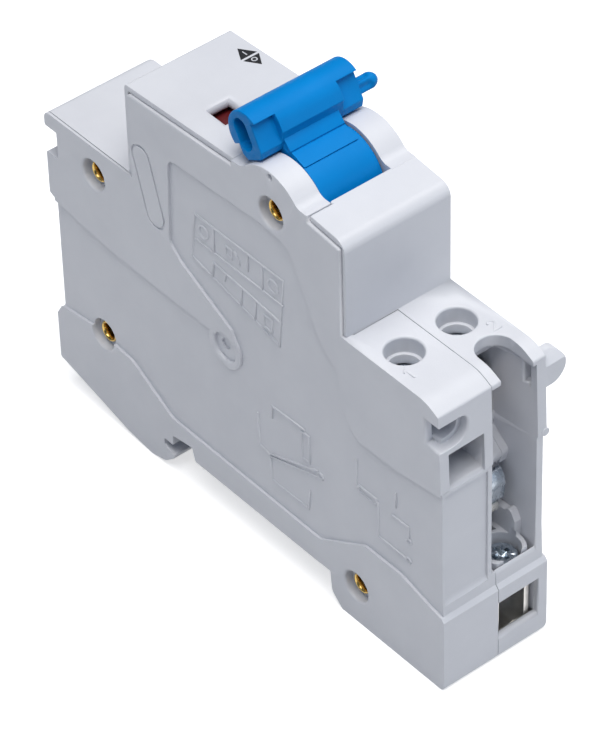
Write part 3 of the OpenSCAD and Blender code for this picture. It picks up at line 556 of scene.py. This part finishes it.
# %% [markdown]
# ## The neck of the lever
#
# Between the cross bar and the drum the lever has a flat sloping front that ends in a low step on the
# drum. It could be an extruded curve with a bevel, but it is a plain prism of the moulding, for which six
# rows of an array are enough: one outline in the lever's own plane, which leans back by 30 degrees around
# the axle, drawn out along the axle. Both ends get a small chamfer by pulling the last row a little
# towards the outline's middle.

# %% Prism in the lever's plane
LEAN = math.radians(30)
AXLE = box_of("lever_axle")[1]
NECK_ENDS = (-4.7, 4.15)
NECK = [(1.2, 4.4), (4.55, 4.35), (4.85, 4.5), (3.72, 5.8), (2.85, 6.42), (2.85, 6.5), (3.0, 6.62),
        (2.97, 6.75), (2.42, 8.95), (2.3, 9.1), (1.2, 9.1)]


def leaning(across, up):
    """x and z of the point (across, up) from the axle, in a plane that is turned back by the lean."""
    x = AXLE[0] + across * math.cos(LEAN) - up * math.sin(LEAN)
    z = AXLE[2] + across * math.sin(LEAN) + up * math.cos(LEAN)
    return x, z


def lever_prism(outline, low, high, chamfer=0.1):
    """Rows along the axle: middle, inset outline, outline, outline, inset outline, middle."""
    edge = np.array(outline)
    middle = np.broadcast_to(edge.mean(0), edge.shape)
    inset = edge + (middle - edge) * chamfer / np.linalg.norm(middle - edge, axis=1)[:, None]
    rows = np.stack([middle, inset, edge, edge, inset, middle])
    y = np.array([low, low, low + chamfer, high - chamfer, high, high])[:, None] + np.zeros(len(edge))
    x, z = leaning(rows[..., 0], rows[..., 1])
    return surface(np.stack([x, y, z], -1))


piece("lever_neck", [lever_prism(NECK, *NECK_ENDS)], slot_of["lever"], nodes["lever"]["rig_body"], crease=25)
print("neck: outline of", len(NECK), "points, axle at", AXLE)

# %% [markdown]
# ## Turned metal: rivets and screws
#
# A tubular rivet is a brass tube whose ends are opened like a trumpet over the seat, with a lip that
# curls back and is never quite even. A terminal screw is turned, gets a cross recess pressed into its
# head, with four short ticks between the arms, and a rolled thread. Both could be spun with the Screw
# modifier, but then every row is a circle. Here a row may leave the circle: it is a set of complex
# numbers across the axis, with a height along it, so one function serves them all. Where a row follows
# the outline of the recess, the mesh has its edges exactly there.

# %% Surfaces around an axis
AXES = {
    "x": np.array([[0, 1, 0], [0, 0, 1], [1, 0, 0]]),
    "y": np.array([[0, 0, 1], [1, 0, 0], [0, 1, 0]]),
    "z": np.array([[1, 0, 0], [0, 1, 0], [0, 0, 1]]),
}
AROUND = 96
ANGLE = np.arange(AROUND) * FULL_TURN / AROUND
CIRCLE = np.exp(1j * ANGLE)


def turned(across, height, axis, base):
    """Points base + Re(across) i + Im(across) j + height k, with i and j across the axis k."""
    across, height = np.broadcast_arrays(across, height)
    return surface(np.stack([across.real, across.imag, height], -1) @ AXES[axis] + np.asarray(base))


print("points in a row around an axis:", AROUND)

# %% Tubular rivets
# x and z of each rivet, and the phase of the waves in its lip.
RIVETS = [(-30.1, 38.4, 0.4), (-30.4, 10.2, 2.1), (22.7, 1.2, 4.0)]
AXLE_PHASE = 1.2
# Radii of the bore, the shank and the throat, and how far out the lip begins.
BORE, SHANK, THROAT, UNDER_LIP = 1.1, 1.34, 1.42, 7.34
# The factors b, c, d of an end's two curves.
BELL, CURL = (0.32, 6.95, 0.92), (0.18, 7.62, 0.25)
WAVE, WAVE_FROM, WAVE_FULL = 0.02, 1.38, 1.6


def rivet(x, z, phase):
    """A tube along y. Over each end the radius is throat + b cos t and the reach c + d sin t.

    Inside the tube (t past 90 degrees) b, c, d are the bell's, outside they are the curl's. The lip is
    wavy by a sum of two cosines, of 3 and 7 waves.
    """
    t = np.radians(np.linspace(-75, 180, 24))
    b, c, d = np.where(t > math.pi / 2, np.array(BELL)[:, None], np.array(CURL)[:, None])
    radius = np.concatenate([[SHANK, SHANK], THROAT + b * np.cos(t), [BORE]])
    reach = np.concatenate([[0, UNDER_LIP], c + d * np.sin(t), [0]])
    radius = np.concatenate([radius, radius[-2::-1]])[:, None]
    reach = np.concatenate([reach, -reach[-2::-1]])[:, None]
    waves = 0.6 * np.cos(3 * ANGLE + phase) + 0.4 * np.cos(7 * ANGLE - 2 * phase)
    lip = smoothstep(WAVE_FROM, WAVE_FULL, radius) * waves
    return turned(radius * (1 + WAVE * lip) * CIRCLE, reach, "y", (x, 0, z))


stand_in("tubular_rivets", [rivet(*facts) for facts in RIVETS], "housing_rivets")
stand_in("tubular_axle", [rivet(AXLE[0], AXLE[2], AXLE_PHASE)], "lever_axle")
print("rivets:", len(RIVETS), "and the axle")

# %% Terminal screws
CONTROL = {"top": 39.4, "flange": 39.0, "under": 37.7, "tip": 35.15,
           "boss": 1.98, "head": 2.35, "shank": 1.5, "pitch": 0.5}
POWER = {"top": 9.4, "flange": 8.6, "under": 8.0, "tip": 4.65,
         "boss": 2.2, "head": 2.35, "shank": 1.75, "pitch": 0.6}
SCREWS = {"screw_c1": CONTROL, "screw_c2": CONTROL, "screw_lower": POWER}
# The cross: reach and half width of an arm, depth in the middle, rise of its floor towards the ends.
ARM, HALF_ARM, RECESS, RISE = 1.32, 0.34, 1.05, 0.34
# Radius of the boss's edge, chamfer of the flange, depth of a tick, taper of the tip.
ROUND, BREAK, TICK, POINT = 0.25, 0.1, 0.12, 0.45
ROWS_TO_A_PITCH = 10


def recess_outline():
    """Outline of a cross with four arms: a quarter over five corners, then turned by powers of i."""
    corners = np.array([ARM, ARM + 1j * HALF_ARM, HALF_ARM + 1j * HALF_ARM, HALF_ARM + 1j * ARM, 1j * ARM])
    at = np.concatenate([np.arange(3) / 3, 1 + np.arange(9) / 9, 2 + np.arange(9) / 9, 3 + np.arange(3) / 3])
    quarter = np.interp(at, np.arange(5), corners.real) + 1j * np.interp(at, np.arange(5), corners.imag)
    return (quarter * 1j ** np.arange(4)[:, None]).ravel()


def screw_head(top, flange, under, boss, head, shank):
    """Rows and heights from the recess's middle to the shank: floor, flat with ticks, round edge, flange.

    The flat runs from the cross to the circle by a share of the way, and sinks by a tick between the arms.
    """
    cross = recess_outline()
    floor_rows = np.array([0, 0.45, 0.9])[:, None] * cross
    floor_height = top - RECESS + RISE * np.abs(floor_rows)
    share = np.array([0, 0.25, 0.5, 0.75, 1])[:, None]
    flat_rows = (1 - share) * cross + share * (boss - ROUND) * CIRCLE
    between_arms = np.arange(AROUND) % (AROUND // 4) == AROUND // 8
    flat_height = top - TICK * between_arms * ((share > 0.2) & (share < 0.8))
    bend = np.radians([30, 60, 90])[:, None]
    edge_rows = (boss - ROUND + ROUND * np.sin(bend)) * CIRCLE
    edge_height = top - ROUND + ROUND * np.cos(bend) + 0 * ANGLE
    under_rows = np.array([boss, head - BREAK, head, head, head - BREAK, shank])[:, None] * CIRCLE
    levels = np.array([flange, flange, flange - BREAK, under + BREAK, under, under])
    under_height = levels[:, None] + 0 * ANGLE
    rows = [floor_rows, flat_rows, edge_rows, under_rows]
    return rows, [floor_height, flat_height, edge_height, under_height]


def screw(x, y, top, flange, under, tip, boss, head, shank, pitch):
    """Head and thread: radius shank less 0.5 * pitch * |2 frac(height / pitch + angle / turn) - 1|."""
    rows, heights = screw_head(top, flange, under, boss, head, shank)
    z = np.linspace(under - 0.1, tip + 0.3, int((under - tip) / pitch * ROWS_TO_A_PITCH))[:, None]
    groove = np.abs(2 * np.mod(z / pitch + ANGLE / FULL_TURN, 1) - 1)
    depth = 0.5 * pitch * smoothstep(under, under - 0.5, z)
    thread_rows = (shank - depth * groove) * CIRCLE
    tip_rows = np.array([shank - POINT, 0])[:, None] * CIRCLE
    across = np.vstack([*rows, thread_rows, tip_rows])
    height = np.vstack([*heights, z + 0 * ANGLE, np.full((2, AROUND), tip)])
    return turned(across, height, "z", (x, y, 0))


for node, sizes in SCREWS.items():
    x, y, _ = box_of(node)[1]
    stand_in(node + "_cross", [screw(x, y, **sizes)], node)
print("screws:", len(SCREWS))

# %% [markdown]
# ## Coupling pin and winding
#
# The pin on the far end of the lever is moulded with four flutes, which save plastic, and a bullet nose
# that finds its slot by itself. The winding is one wire laid side by side. It could be a long helix, but
# only its skin shows, which is a fine screw line. So both are again rows around an axis, and only the
# radius changes with the angle.

# %% The fluted pin and the wound coil
# Place in the lever's plane, radii, and how far each stretch reaches along y.
PIN_PLACE = (0.3, 9.25)
PIN_ROOT, ROOT_START, ROOT_END, ROOT_BREAK = 1.43, 5.45, 8.5, 0.08
PIN_SHANK, SHANK_START, SHANK_END = 1.14, 8.62, 10.9
PIN_NOSE, NOSE_START = 1.38, 11.0
FLUTE, FLUTE_TURN = 0.34, 0.52
FLUTE_START, FLUTE_END = (8.6, 8.66), (10.6, 11.2)


def fluted_pin(x, z):
    """Radius along y: root, step, shank less a share flute * ((1 - cos 4a) / 2) ** 0.7, then an ellipse."""
    t = np.linspace(0, math.pi / 2, 12)
    root_y = [ROOT_START, ROOT_START, ROOT_END, ROOT_END + ROOT_BREAK]
    shank_y = np.linspace(SHANK_START, SHANK_END, 16)
    root = [0, PIN_ROOT, PIN_ROOT, PIN_ROOT - ROOT_BREAK]
    shank = np.full(16, PIN_SHANK)
    y = np.concatenate([root_y, shank_y, NOSE_START + PIN_NOSE * np.sin(t)])[:, None]
    radius = np.concatenate([root, shank, PIN_SHANK * np.cos(t)])[:, None]
    zone = smoothstep(*FLUTE_START, y) * (1 - smoothstep(*FLUTE_END, y))
    flute = FLUTE * zone * (0.5 - 0.5 * np.cos(4 * (ANGLE - FLUTE_TURN))) ** 0.7
    return turned(radius * (1 - flute) * CIRCLE, y, "y", (x, 0, z))


def winding(pitch=0.62, outer=6.2, inner=3.75, groove=0.3):
    """A wire along x: radius outer less groove * (1 - |sin|) of pi * (x / pitch + a / turn)."""
    low, middle, high = box_of("coil_winding")
    x = np.linspace(low[0], high[0], 217)[:, None]
    skin = outer - groove * (1 - np.abs(np.sin(math.pi * (x / pitch + ANGLE / FULL_TURN))))
    rows = np.vstack([skin, np.full((2, AROUND), inner), skin[:1]])
    along = np.vstack([x, [[high[0]], [low[0]], [low[0]]]])
    return turned(rows * CIRCLE, along, "x", (0, 0, middle[2]))


stand_in("fluted_pin", [fluted_pin(*leaning(*PIN_PLACE))], "coupling_pin")
stand_in("wound_wire", [winding()], "coil_winding", crease=80)
print("pin at x, z:", np.round(leaning(*PIN_PLACE), 2), "and the winding")

# %% [markdown]
# ## Springs
#
# Three springs of drawn steel wire work inside: one pushes the plunger back, one pushes the rail clip,
# and one turns the lever back. A spring belongs to two bodies at once: one end stays, the other moves,
# and the turns between them share the motion: the first two close up and the third one twists. A curve
# with a round bevel would show the wire too. Here each is a tube swept along a helix, made where it
# rests, and it follows neither body.

# %% Wire along a path
SIDES = 10
RINGS, FEW_RINGS = 32, 28


def swept(path, axis, radius):
    """Rings p + radius * (cos a n + sin a b), closed at both ends.

    n is the axis made square to the path, and b is across both.
    """
    p, axis = np.asarray(path), np.asarray(axis)
    along = np.gradient(p, axis=0)
    along /= np.linalg.norm(along, axis=1)[:, None]
    n = axis - (along @ axis)[:, None] * along
    n /= np.linalg.norm(n, axis=1)[:, None]
    b = np.cross(along, n)
    a = np.arange(SIDES)[:, None] * FULL_TURN / SIDES
    rings = p[:, None] + radius * (np.cos(a) * n[:, None] + np.sin(a) * b[:, None])
    first, last = np.broadcast_to(p[0], (1, SIDES, 3)), np.broadcast_to(p[-1], (1, SIDES, 3))
    return surface(np.concatenate([first, rings, last]))


def pressed_spring(start, end, coil, wire, turns, closed=0.8):
    """A helix along x whose first and last turns lie close, wire on wire, with an even pitch between."""
    t = np.linspace(0, turns, turns * FEW_RINGS + 1)
    reach = end[0] - start[0] - 2 * wire
    tight = 2 * wire * closed
    x = start[0] + wire + np.interp(t, [0, closed, turns - closed, turns], [0, tight, reach - tight, reach])
    bend = FULL_TURN * t
    return swept(np.stack([x, coil * np.sin(bend), start[2] - coil * np.cos(bend)], 1), (1, 0, 0), wire)


def twisted_spring(first, last, coil, wire, turns, leg=(4.8, 4.0, 3.2), start=20):
    """A leg in the drum at y = first, then turns around the axle to y = last, in the lever's plane."""
    bend = np.radians(start) + np.linspace(0, turns, turns * RINGS + 1) * FULL_TURN
    across = np.concatenate([np.zeros(len(leg)), coil * np.sin(bend)])
    up = -np.concatenate([leg, coil * np.cos(bend)])
    y = np.concatenate([np.full(len(leg), first), np.linspace(first, last, len(bend))])
    x, z = leaning(across, up)
    return swept(np.stack([x, y, z], 1), (0, 1, 0), wire)


print("wire sides:", SIDES, "rings to a turn:", FEW_RINGS, "or", RINGS)

# %% Three springs, made in place
LEVER_SPRING = {"first": -2.52, "last": -4.12, "coil": 2.75, "wire": 0.28, "turns": 3}
PLUNGER_SPRING = {"coil": 1.7, "wire": 0.2, "turns": 7}
CLIP_SPRING = {"coil": 0.55, "wire": 0.13, "turns": 8}
BLEND_Y = (-2.6, -4.1)


def spring(name, wire, node, moving, start, end):
    """A spring of wire in the node's finish, fixed where it is made; moving, start and end (mm) are not used.
    """
    made = piece(name, [wire], slot_of[node], None, crease=60)
    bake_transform(made)
    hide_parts(node)


def axis_ends(node):
    """Both ends of a CAD spring's axis along x."""
    low, middle, high = box_of(node)
    return (low[0], *middle[1:]), (high[0], *middle[1:])


ends = axis_ends("plunger_spring")
spring("plunger_spring_wire", pressed_spring(*ends, **PLUNGER_SPRING), "plunger_spring", "plunger", *ends)
ends = axis_ends("clip_spring")
spring("clip_spring_wire", pressed_spring(*ends, **CLIP_SPRING), "clip_spring", "clip", *ends)
ends = [(AXLE[0], y, AXLE[2]) for y in BLEND_Y]
spring("lever_spring_wire", twisted_spring(**LEVER_SPRING), "lever_spring", "lever", *ends)
print("springs: plunger, clip, lever")

# %% [markdown]
# ## Marks
#
# The tool that makes the cover has fine lines cut into it, and they stand on the moulding as low ridges:
# a free scheme of a circuit, and a number beside each control screw. The on and off signs on the label
# face are printed. Curve objects could draw them, but an array keeps their corners and ends even: a ridge
# is a path with a flat oval section; at a corner its width is divided by the cosine of half the turn, so
# that both arms keep their width, and at a free end it closes in a point.


# %% Ridges along paths
def ridge(path, closed, half, height, sink=0.04, around=8):
    """Grid (u, v, w): u and v are path + half * cos(a) * mitre.

    Above the face w is height * sin(a), and below it sink * sin(a).
    """
    p = np.asarray(path, float)
    before = np.roll(p, 1, 0) if closed else np.vstack([2 * p[0] - p[1], p[:-1]])
    after = np.roll(p, -1, 0) if closed else np.vstack([p[1:], 2 * p[-1] - p[-2]])
    come, go = p - before, after - p
    come /= np.linalg.norm(come, axis=1)[:, None]
    go /= np.linalg.norm(go, axis=1)[:, None]
    left = np.stack([-come[:, 1], come[:, 0]], 1)
    mitre = left + np.stack([-go[:, 1], go[:, 0]], 1)
    mitre /= np.linalg.norm(mitre, axis=1)[:, None]
    mitre /= np.clip(np.sum(mitre * left, 1), 0.4, 1)[:, None]
    a = np.arange(around) * FULL_TURN / around
    flat = p[:, None] + half * np.cos(a)[None, :, None] * mitre[:, None]
    lift = np.where(np.sin(a) > 0, height, sink) * np.sin(a)
    grid = np.concatenate([flat, np.broadcast_to(lift[None, :, None], (*flat.shape[:2], 1))], -1)
    if closed:
        return np.concatenate([grid, grid[:1]])
    ends = np.stack([np.append(p[0] - half * come[0], 0), np.append(p[-1] + half * go[-1], 0)])
    ends = np.broadcast_to(ends[:, None], (2, around, 3))
    return np.concatenate([ends[:1], grid, ends[1:]])


def ring(x, y, radius, count=24):
    """A circle as a path."""
    t = np.arange(count) * FULL_TURN / count
    return np.stack([x + radius * np.cos(t), y + radius * np.sin(t)], 1)


def box_path(x0, x1, y0, y1):
    """A rectangle as a path."""
    return [(x0, y0), (x1, y0), (x1, y1), (x0, y1)]


print("rows and points to a row, straight ridge:", ridge([(0, 0), (1, 0)], False, 0.1, 0.1).shape[:2])

# %% From a flat drawing to the faces of the housing
SUNK_FIELD = -8.5
PLATFORM = 43.3
LABEL_EDGE, LABEL_TOP, LABEL_FALL = 2, 59.2, 1.2 / 24.4


def on_side(grid):
    """u is x, v is z, and w stands out of the cover's sunk field towards -y."""
    return surface(np.stack([grid[..., 0], SUNK_FIELD - grid[..., 2], grid[..., 1]], -1))


def on_platform(grid, x, y):
    """Read from the terminal end: u runs along +y and v along -x, w upwards from the platform."""
    return surface(np.stack([x - grid[..., 1], y + grid[..., 0], PLATFORM + grid[..., 2]], -1))


def on_label(grid):
    """u is x, v is y, w stands on the label face, which falls evenly towards -x."""
    x = grid[..., 0]
    return surface(np.stack([x, grid[..., 1], LABEL_TOP - LABEL_FALL * (LABEL_EDGE - x) + grid[..., 2]], -1))


print("levels: cover", SUNK_FIELD, "platform", PLATFORM, "label", LABEL_TOP)

# %% The moulded scheme on the cover
SCHEME_LINE = {"half": 0.18, "height": 0.2}
OPEN = [
    [(-8.7, 40.7), (9.0, 40.6)], [(-4.9, 44.7), (-4.9, 40.8)], [(4.9, 44.6), (4.9, 40.7)],
    [(-5.4, 36.4), (-5.1, 38.9), (8.5, 37.4)], [(-0.6, 43.6), (0.4, 42.0)], [(2.0, 44.6), (2.0, 42.0)],
    [(0.6, 38.2), (0.3, 35.2)], [(3.4, 37.8), (3.1, 34.6)], [(-2.6, 38.5), (-2.9, 37.2)],
    [(2.9, 18.3), (3.0, 12.9), (5.2, 12.4)], [(5.9, 19.4), (6.0, 21.5), (12.5, 21.8)],
    [(5.4, 12.7), (15.0, 16.3)], [(5.4, 12.2), (15.0, 15.3)],
    [(5.3, 12.0), (5.4, 8.1), (13.0, 8.2), (13.3, 11.6)],
    [(23.0, 23.8), (22.8, 19.2), (23.4, 19.1)], [(26.8, 19.1), (27.1, 19.1), (27.0, 13.3), (32.6, 13.3)],
    [(30.6, 23.3), (30.6, 20.9)], [(29.8, 19.0), (33.0, 19.1), (33.1, 17.1)],
]
CLOSED = [
    [(-8.6, 44.9), (9.1, 44.8), (8.0, 33.3), (-9.7, 37.2)], ring(-7.0, 42.8, 0.95), ring(7.0, 42.6, 0.95),
    box_path(-2.4, -1.2, 42.0, 43.4), box_path(5.0, 6.6, 34.6, 36.6), box_path(11.9, 13.4, 16.6, 21.2),
    box_path(23.4, 26.8, 18.6, 19.6), ring(33.1, 16.7, 0.4), ring(33.0, 13.3, 0.4), ring(15.6, 15.8, 0.5),
]
scheme = [on_side(ridge(path, False, **SCHEME_LINE)) for path in OPEN]
scheme += [on_side(ridge(path, True, **SCHEME_LINE)) for path in CLOSED]
piece("moulded_scheme", scheme, "housing_grey", "housing", crease=75)
print("strokes of the scheme:", len(scheme))

# %% Numbers on the platform
NUMBER_LINE = {"half": 0.17, "height": 0.17}
NUMBER_X = 31.6
bow = np.radians(np.linspace(165, -35, 12))
ONE = [(-0.35, 0.5), (0.1, 0.9), (0.1, -0.9)]
TWO = [*zip(0.5 * np.cos(bow), 0.42 + 0.5 * np.sin(bow)), (-0.5, -0.88), (0.55, -0.88)]
numbers = [on_platform(ridge(path, False, **NUMBER_LINE), NUMBER_X, y)
           for path, y in ((ONE, -7.0), (TWO, 6.9))]
piece("moulded_numbers", numbers, "housing_grey", "housing", crease=75)
print("numbers:", len(numbers))

# %% Signs on the label face
SIGN_LINE = {"half": 0.1, "height": 0.06}
ON_FIELD = [(-18.2, 6.9), (-15.9, 8.3), (-15.9, 5.6)]
OFF_FIELD = [(-15.5, 8.3), (-13.3, 7.0), (-15.5, 5.7)]
ON_STROKE = [(-17.2, 6.92), (-16.3, 6.92)]
OFF_RING = ring(-14.85, 7.0, 0.36)


def flat_plate(corners, height=0.03, sink=0.02):
    """A thin plate: rows are the middle and the outline below, then the outline and the middle above."""
    edge = np.array(corners)
    middle = np.broadcast_to(edge.mean(0), edge.shape)
    level = np.array([-sink, -sink, height, height])[:, None, None] * np.ones((1, len(edge), 1))
    return np.concatenate([np.stack([middle, edge, edge, middle]), level], -1)


fields = [on_label(flat_plate(corners)) for corners in (ON_FIELD, OFF_FIELD)]
piece("switch_fields", fields, "bobbin_black", "housing")
signs = [on_label(ridge(ON_STROKE, False, **SIGN_LINE)), on_label(ridge(OFF_RING, True, **SIGN_LINE))]
piece("switch_signs", signs, "housing_grey", "housing")
print("signs:", len(signs))

# %% [markdown]
# ## Camera, floor and light
#
# The camera stands where the picture was taken from: right of the cover side and well above, with a long
# lens. The floor is plain and pale. It could be lit until it is white, but then the part would be too
# bright, so it glows a little for the camera and for mirrors only, and keeps the soft shadow. A wide
# overhead lamp stands a little in front of the cover, so that it lights the front fully and rakes the
# cover, where it picks out the low ridges and steps. Weaker ones fill the terminal end and the far side,
# a faint one the cover, and a bluish world opens the shadows, as daylight does beside warm lamps.

# %% Camera
PICTURE = (600, 747)
FOCAL, SENSOR = 4440, 36
TARGET, DISTANCE = (10.92, -7.7, 30.0), 569.1
AZIMUTH, ELEVATION, ROLL = np.radians([-38.67, 41.54, -1.77])


def look():
    """A camera on a sphere around the target: azimuth from +x, elevation above the level, then a roll.

    The focal length is in pixels of the picture, whose longer side is the sensor's width.
    """
    data = bpy.data.cameras.new("photo_camera")
    data.sensor_width = SENSOR
    data.sensor_fit = "AUTO"
    data.lens = FOCAL / max(PICTURE) * SENSOR
    data.clip_start, data.clip_end = 0.01, 10
    made = placed("photo_camera", data)
    around = Matrix.Rotation(AZIMUTH + math.pi / 2, 4, "Z")
    above = Matrix.Rotation(math.pi / 2 - ELEVATION, 4, "X")
    away = Matrix.Rotation(ROLL, 4, "Z") @ Matrix.Translation((0, 0, DISTANCE * MM))
    made.matrix_world = Matrix.Translation(Vector(TARGET) * MM) @ around @ above @ away
    bpy.context.scene.camera = made
    return made


camera = look()
print("lens:", round(camera.data.lens, 1), "mm")

# %% Floor
FLOOR_REACH = 3.0
FLOOR_COLOUR = (0.62, 0.62, 0.63, 1)
FLOOR_GLOW = 0.62


def stage_floor(level):
    """A wide plane: diffuse for the bounce, and a glow for camera and mirrors, so that it reads white."""
    mesh = bpy.data.meshes.new("floor")
    reach = FLOOR_REACH
    corners = [(-reach, -reach, level), (reach, -reach, level), (reach, reach, level), (-reach, reach, level)]
    mesh.from_pydata(corners, [], [[0, 1, 2, 3]])
    skin = bpy.data.materials.new("pale_floor")
    skin.use_nodes = True
    tree = skin.node_tree
    tree.nodes.clear()
    ray = tree.nodes.new("ShaderNodeLightPath").outputs
    mirror = add_math(tree, "MAXIMUM", ray["Is Glossy Ray"], ray["Is Transmission Ray"])
    seen = add_math(tree, "MAXIMUM", ray["Is Camera Ray"], mirror)
    glow = tree.nodes.new("ShaderNodeEmission")
    glow.inputs["Strength"].default_value = FLOOR_GLOW
    pick = tree.nodes.new("ShaderNodeMixShader")
    link(tree, seen, pick.inputs["Fac"])
    link(tree, glow.outputs[0], pick.inputs[2])
    matt = tree.nodes.new("ShaderNodeBsdfDiffuse")
    matt.inputs["Color"].default_value = FLOOR_COLOUR
    both = tree.nodes.new("ShaderNodeAddShader")
    link(tree, pick.outputs[0], both.inputs[0])
    link(tree, matt.outputs[0], both.inputs[1])
    link(tree, both.outputs[0], tree.nodes.new("ShaderNodeOutputMaterial").inputs["Surface"])
    mesh.materials.append(skin)
    placed("floor", mesh)


stage_floor(cad_box[0][2])
print("floor at", round(cad_box[0][2] / MM, 2), "mm")

# %% Lamps and world
AIM = (0, 0, 0.025)
WARM, WARM_FAR = (1.0, 0.98, 0.952), (1.0, 0.98, 0.955)
COOL, BLUE = (0.82, 0.9, 1.0), (0.6, 0.77, 1.0)
SKY, SKY_STRENGTH = (0.54, 0.73, 1.0, 1), 0.14


def lamp(name, place, size, power, colour):
    """A square area lamp at place (m), turned to the aim."""
    data = bpy.data.lights.new(name, "AREA")
    data.shape = "SQUARE"
    data.size = size
    data.energy = power
    data.color = colour
    made = placed(name, data)
    made.location = place
    made.rotation_euler = (Vector(AIM) - Vector(place)).to_track_quat("-Z", "Y").to_euler()


lamp("overhead", place=(0.11, -0.1, 0.74), size=0.6, power=6.1, colour=WARM)
lamp("terminal_side", place=(0.68, 0.36, 0.3), size=0.4, power=1.12, colour=COOL)
lamp("cover_side", place=(-0.25, -0.7, 0.45), size=0.45, power=0.3, colour=BLUE)
lamp("far_side", place=(-0.05, 0.55, 0.6), size=0.4, power=1.5, colour=WARM_FAR)
world = bpy.data.worlds.new("studio")
bpy.context.scene.world = world
world.use_nodes = True
sky = world.node_tree.nodes["Background"]
sky.inputs["Color"].default_value = SKY
sky.inputs["Strength"].default_value = SKY_STRENGTH
bpy.context.scene.view_settings.view_transform = "Standard"
print("lamps:", len(bpy.data.lights))
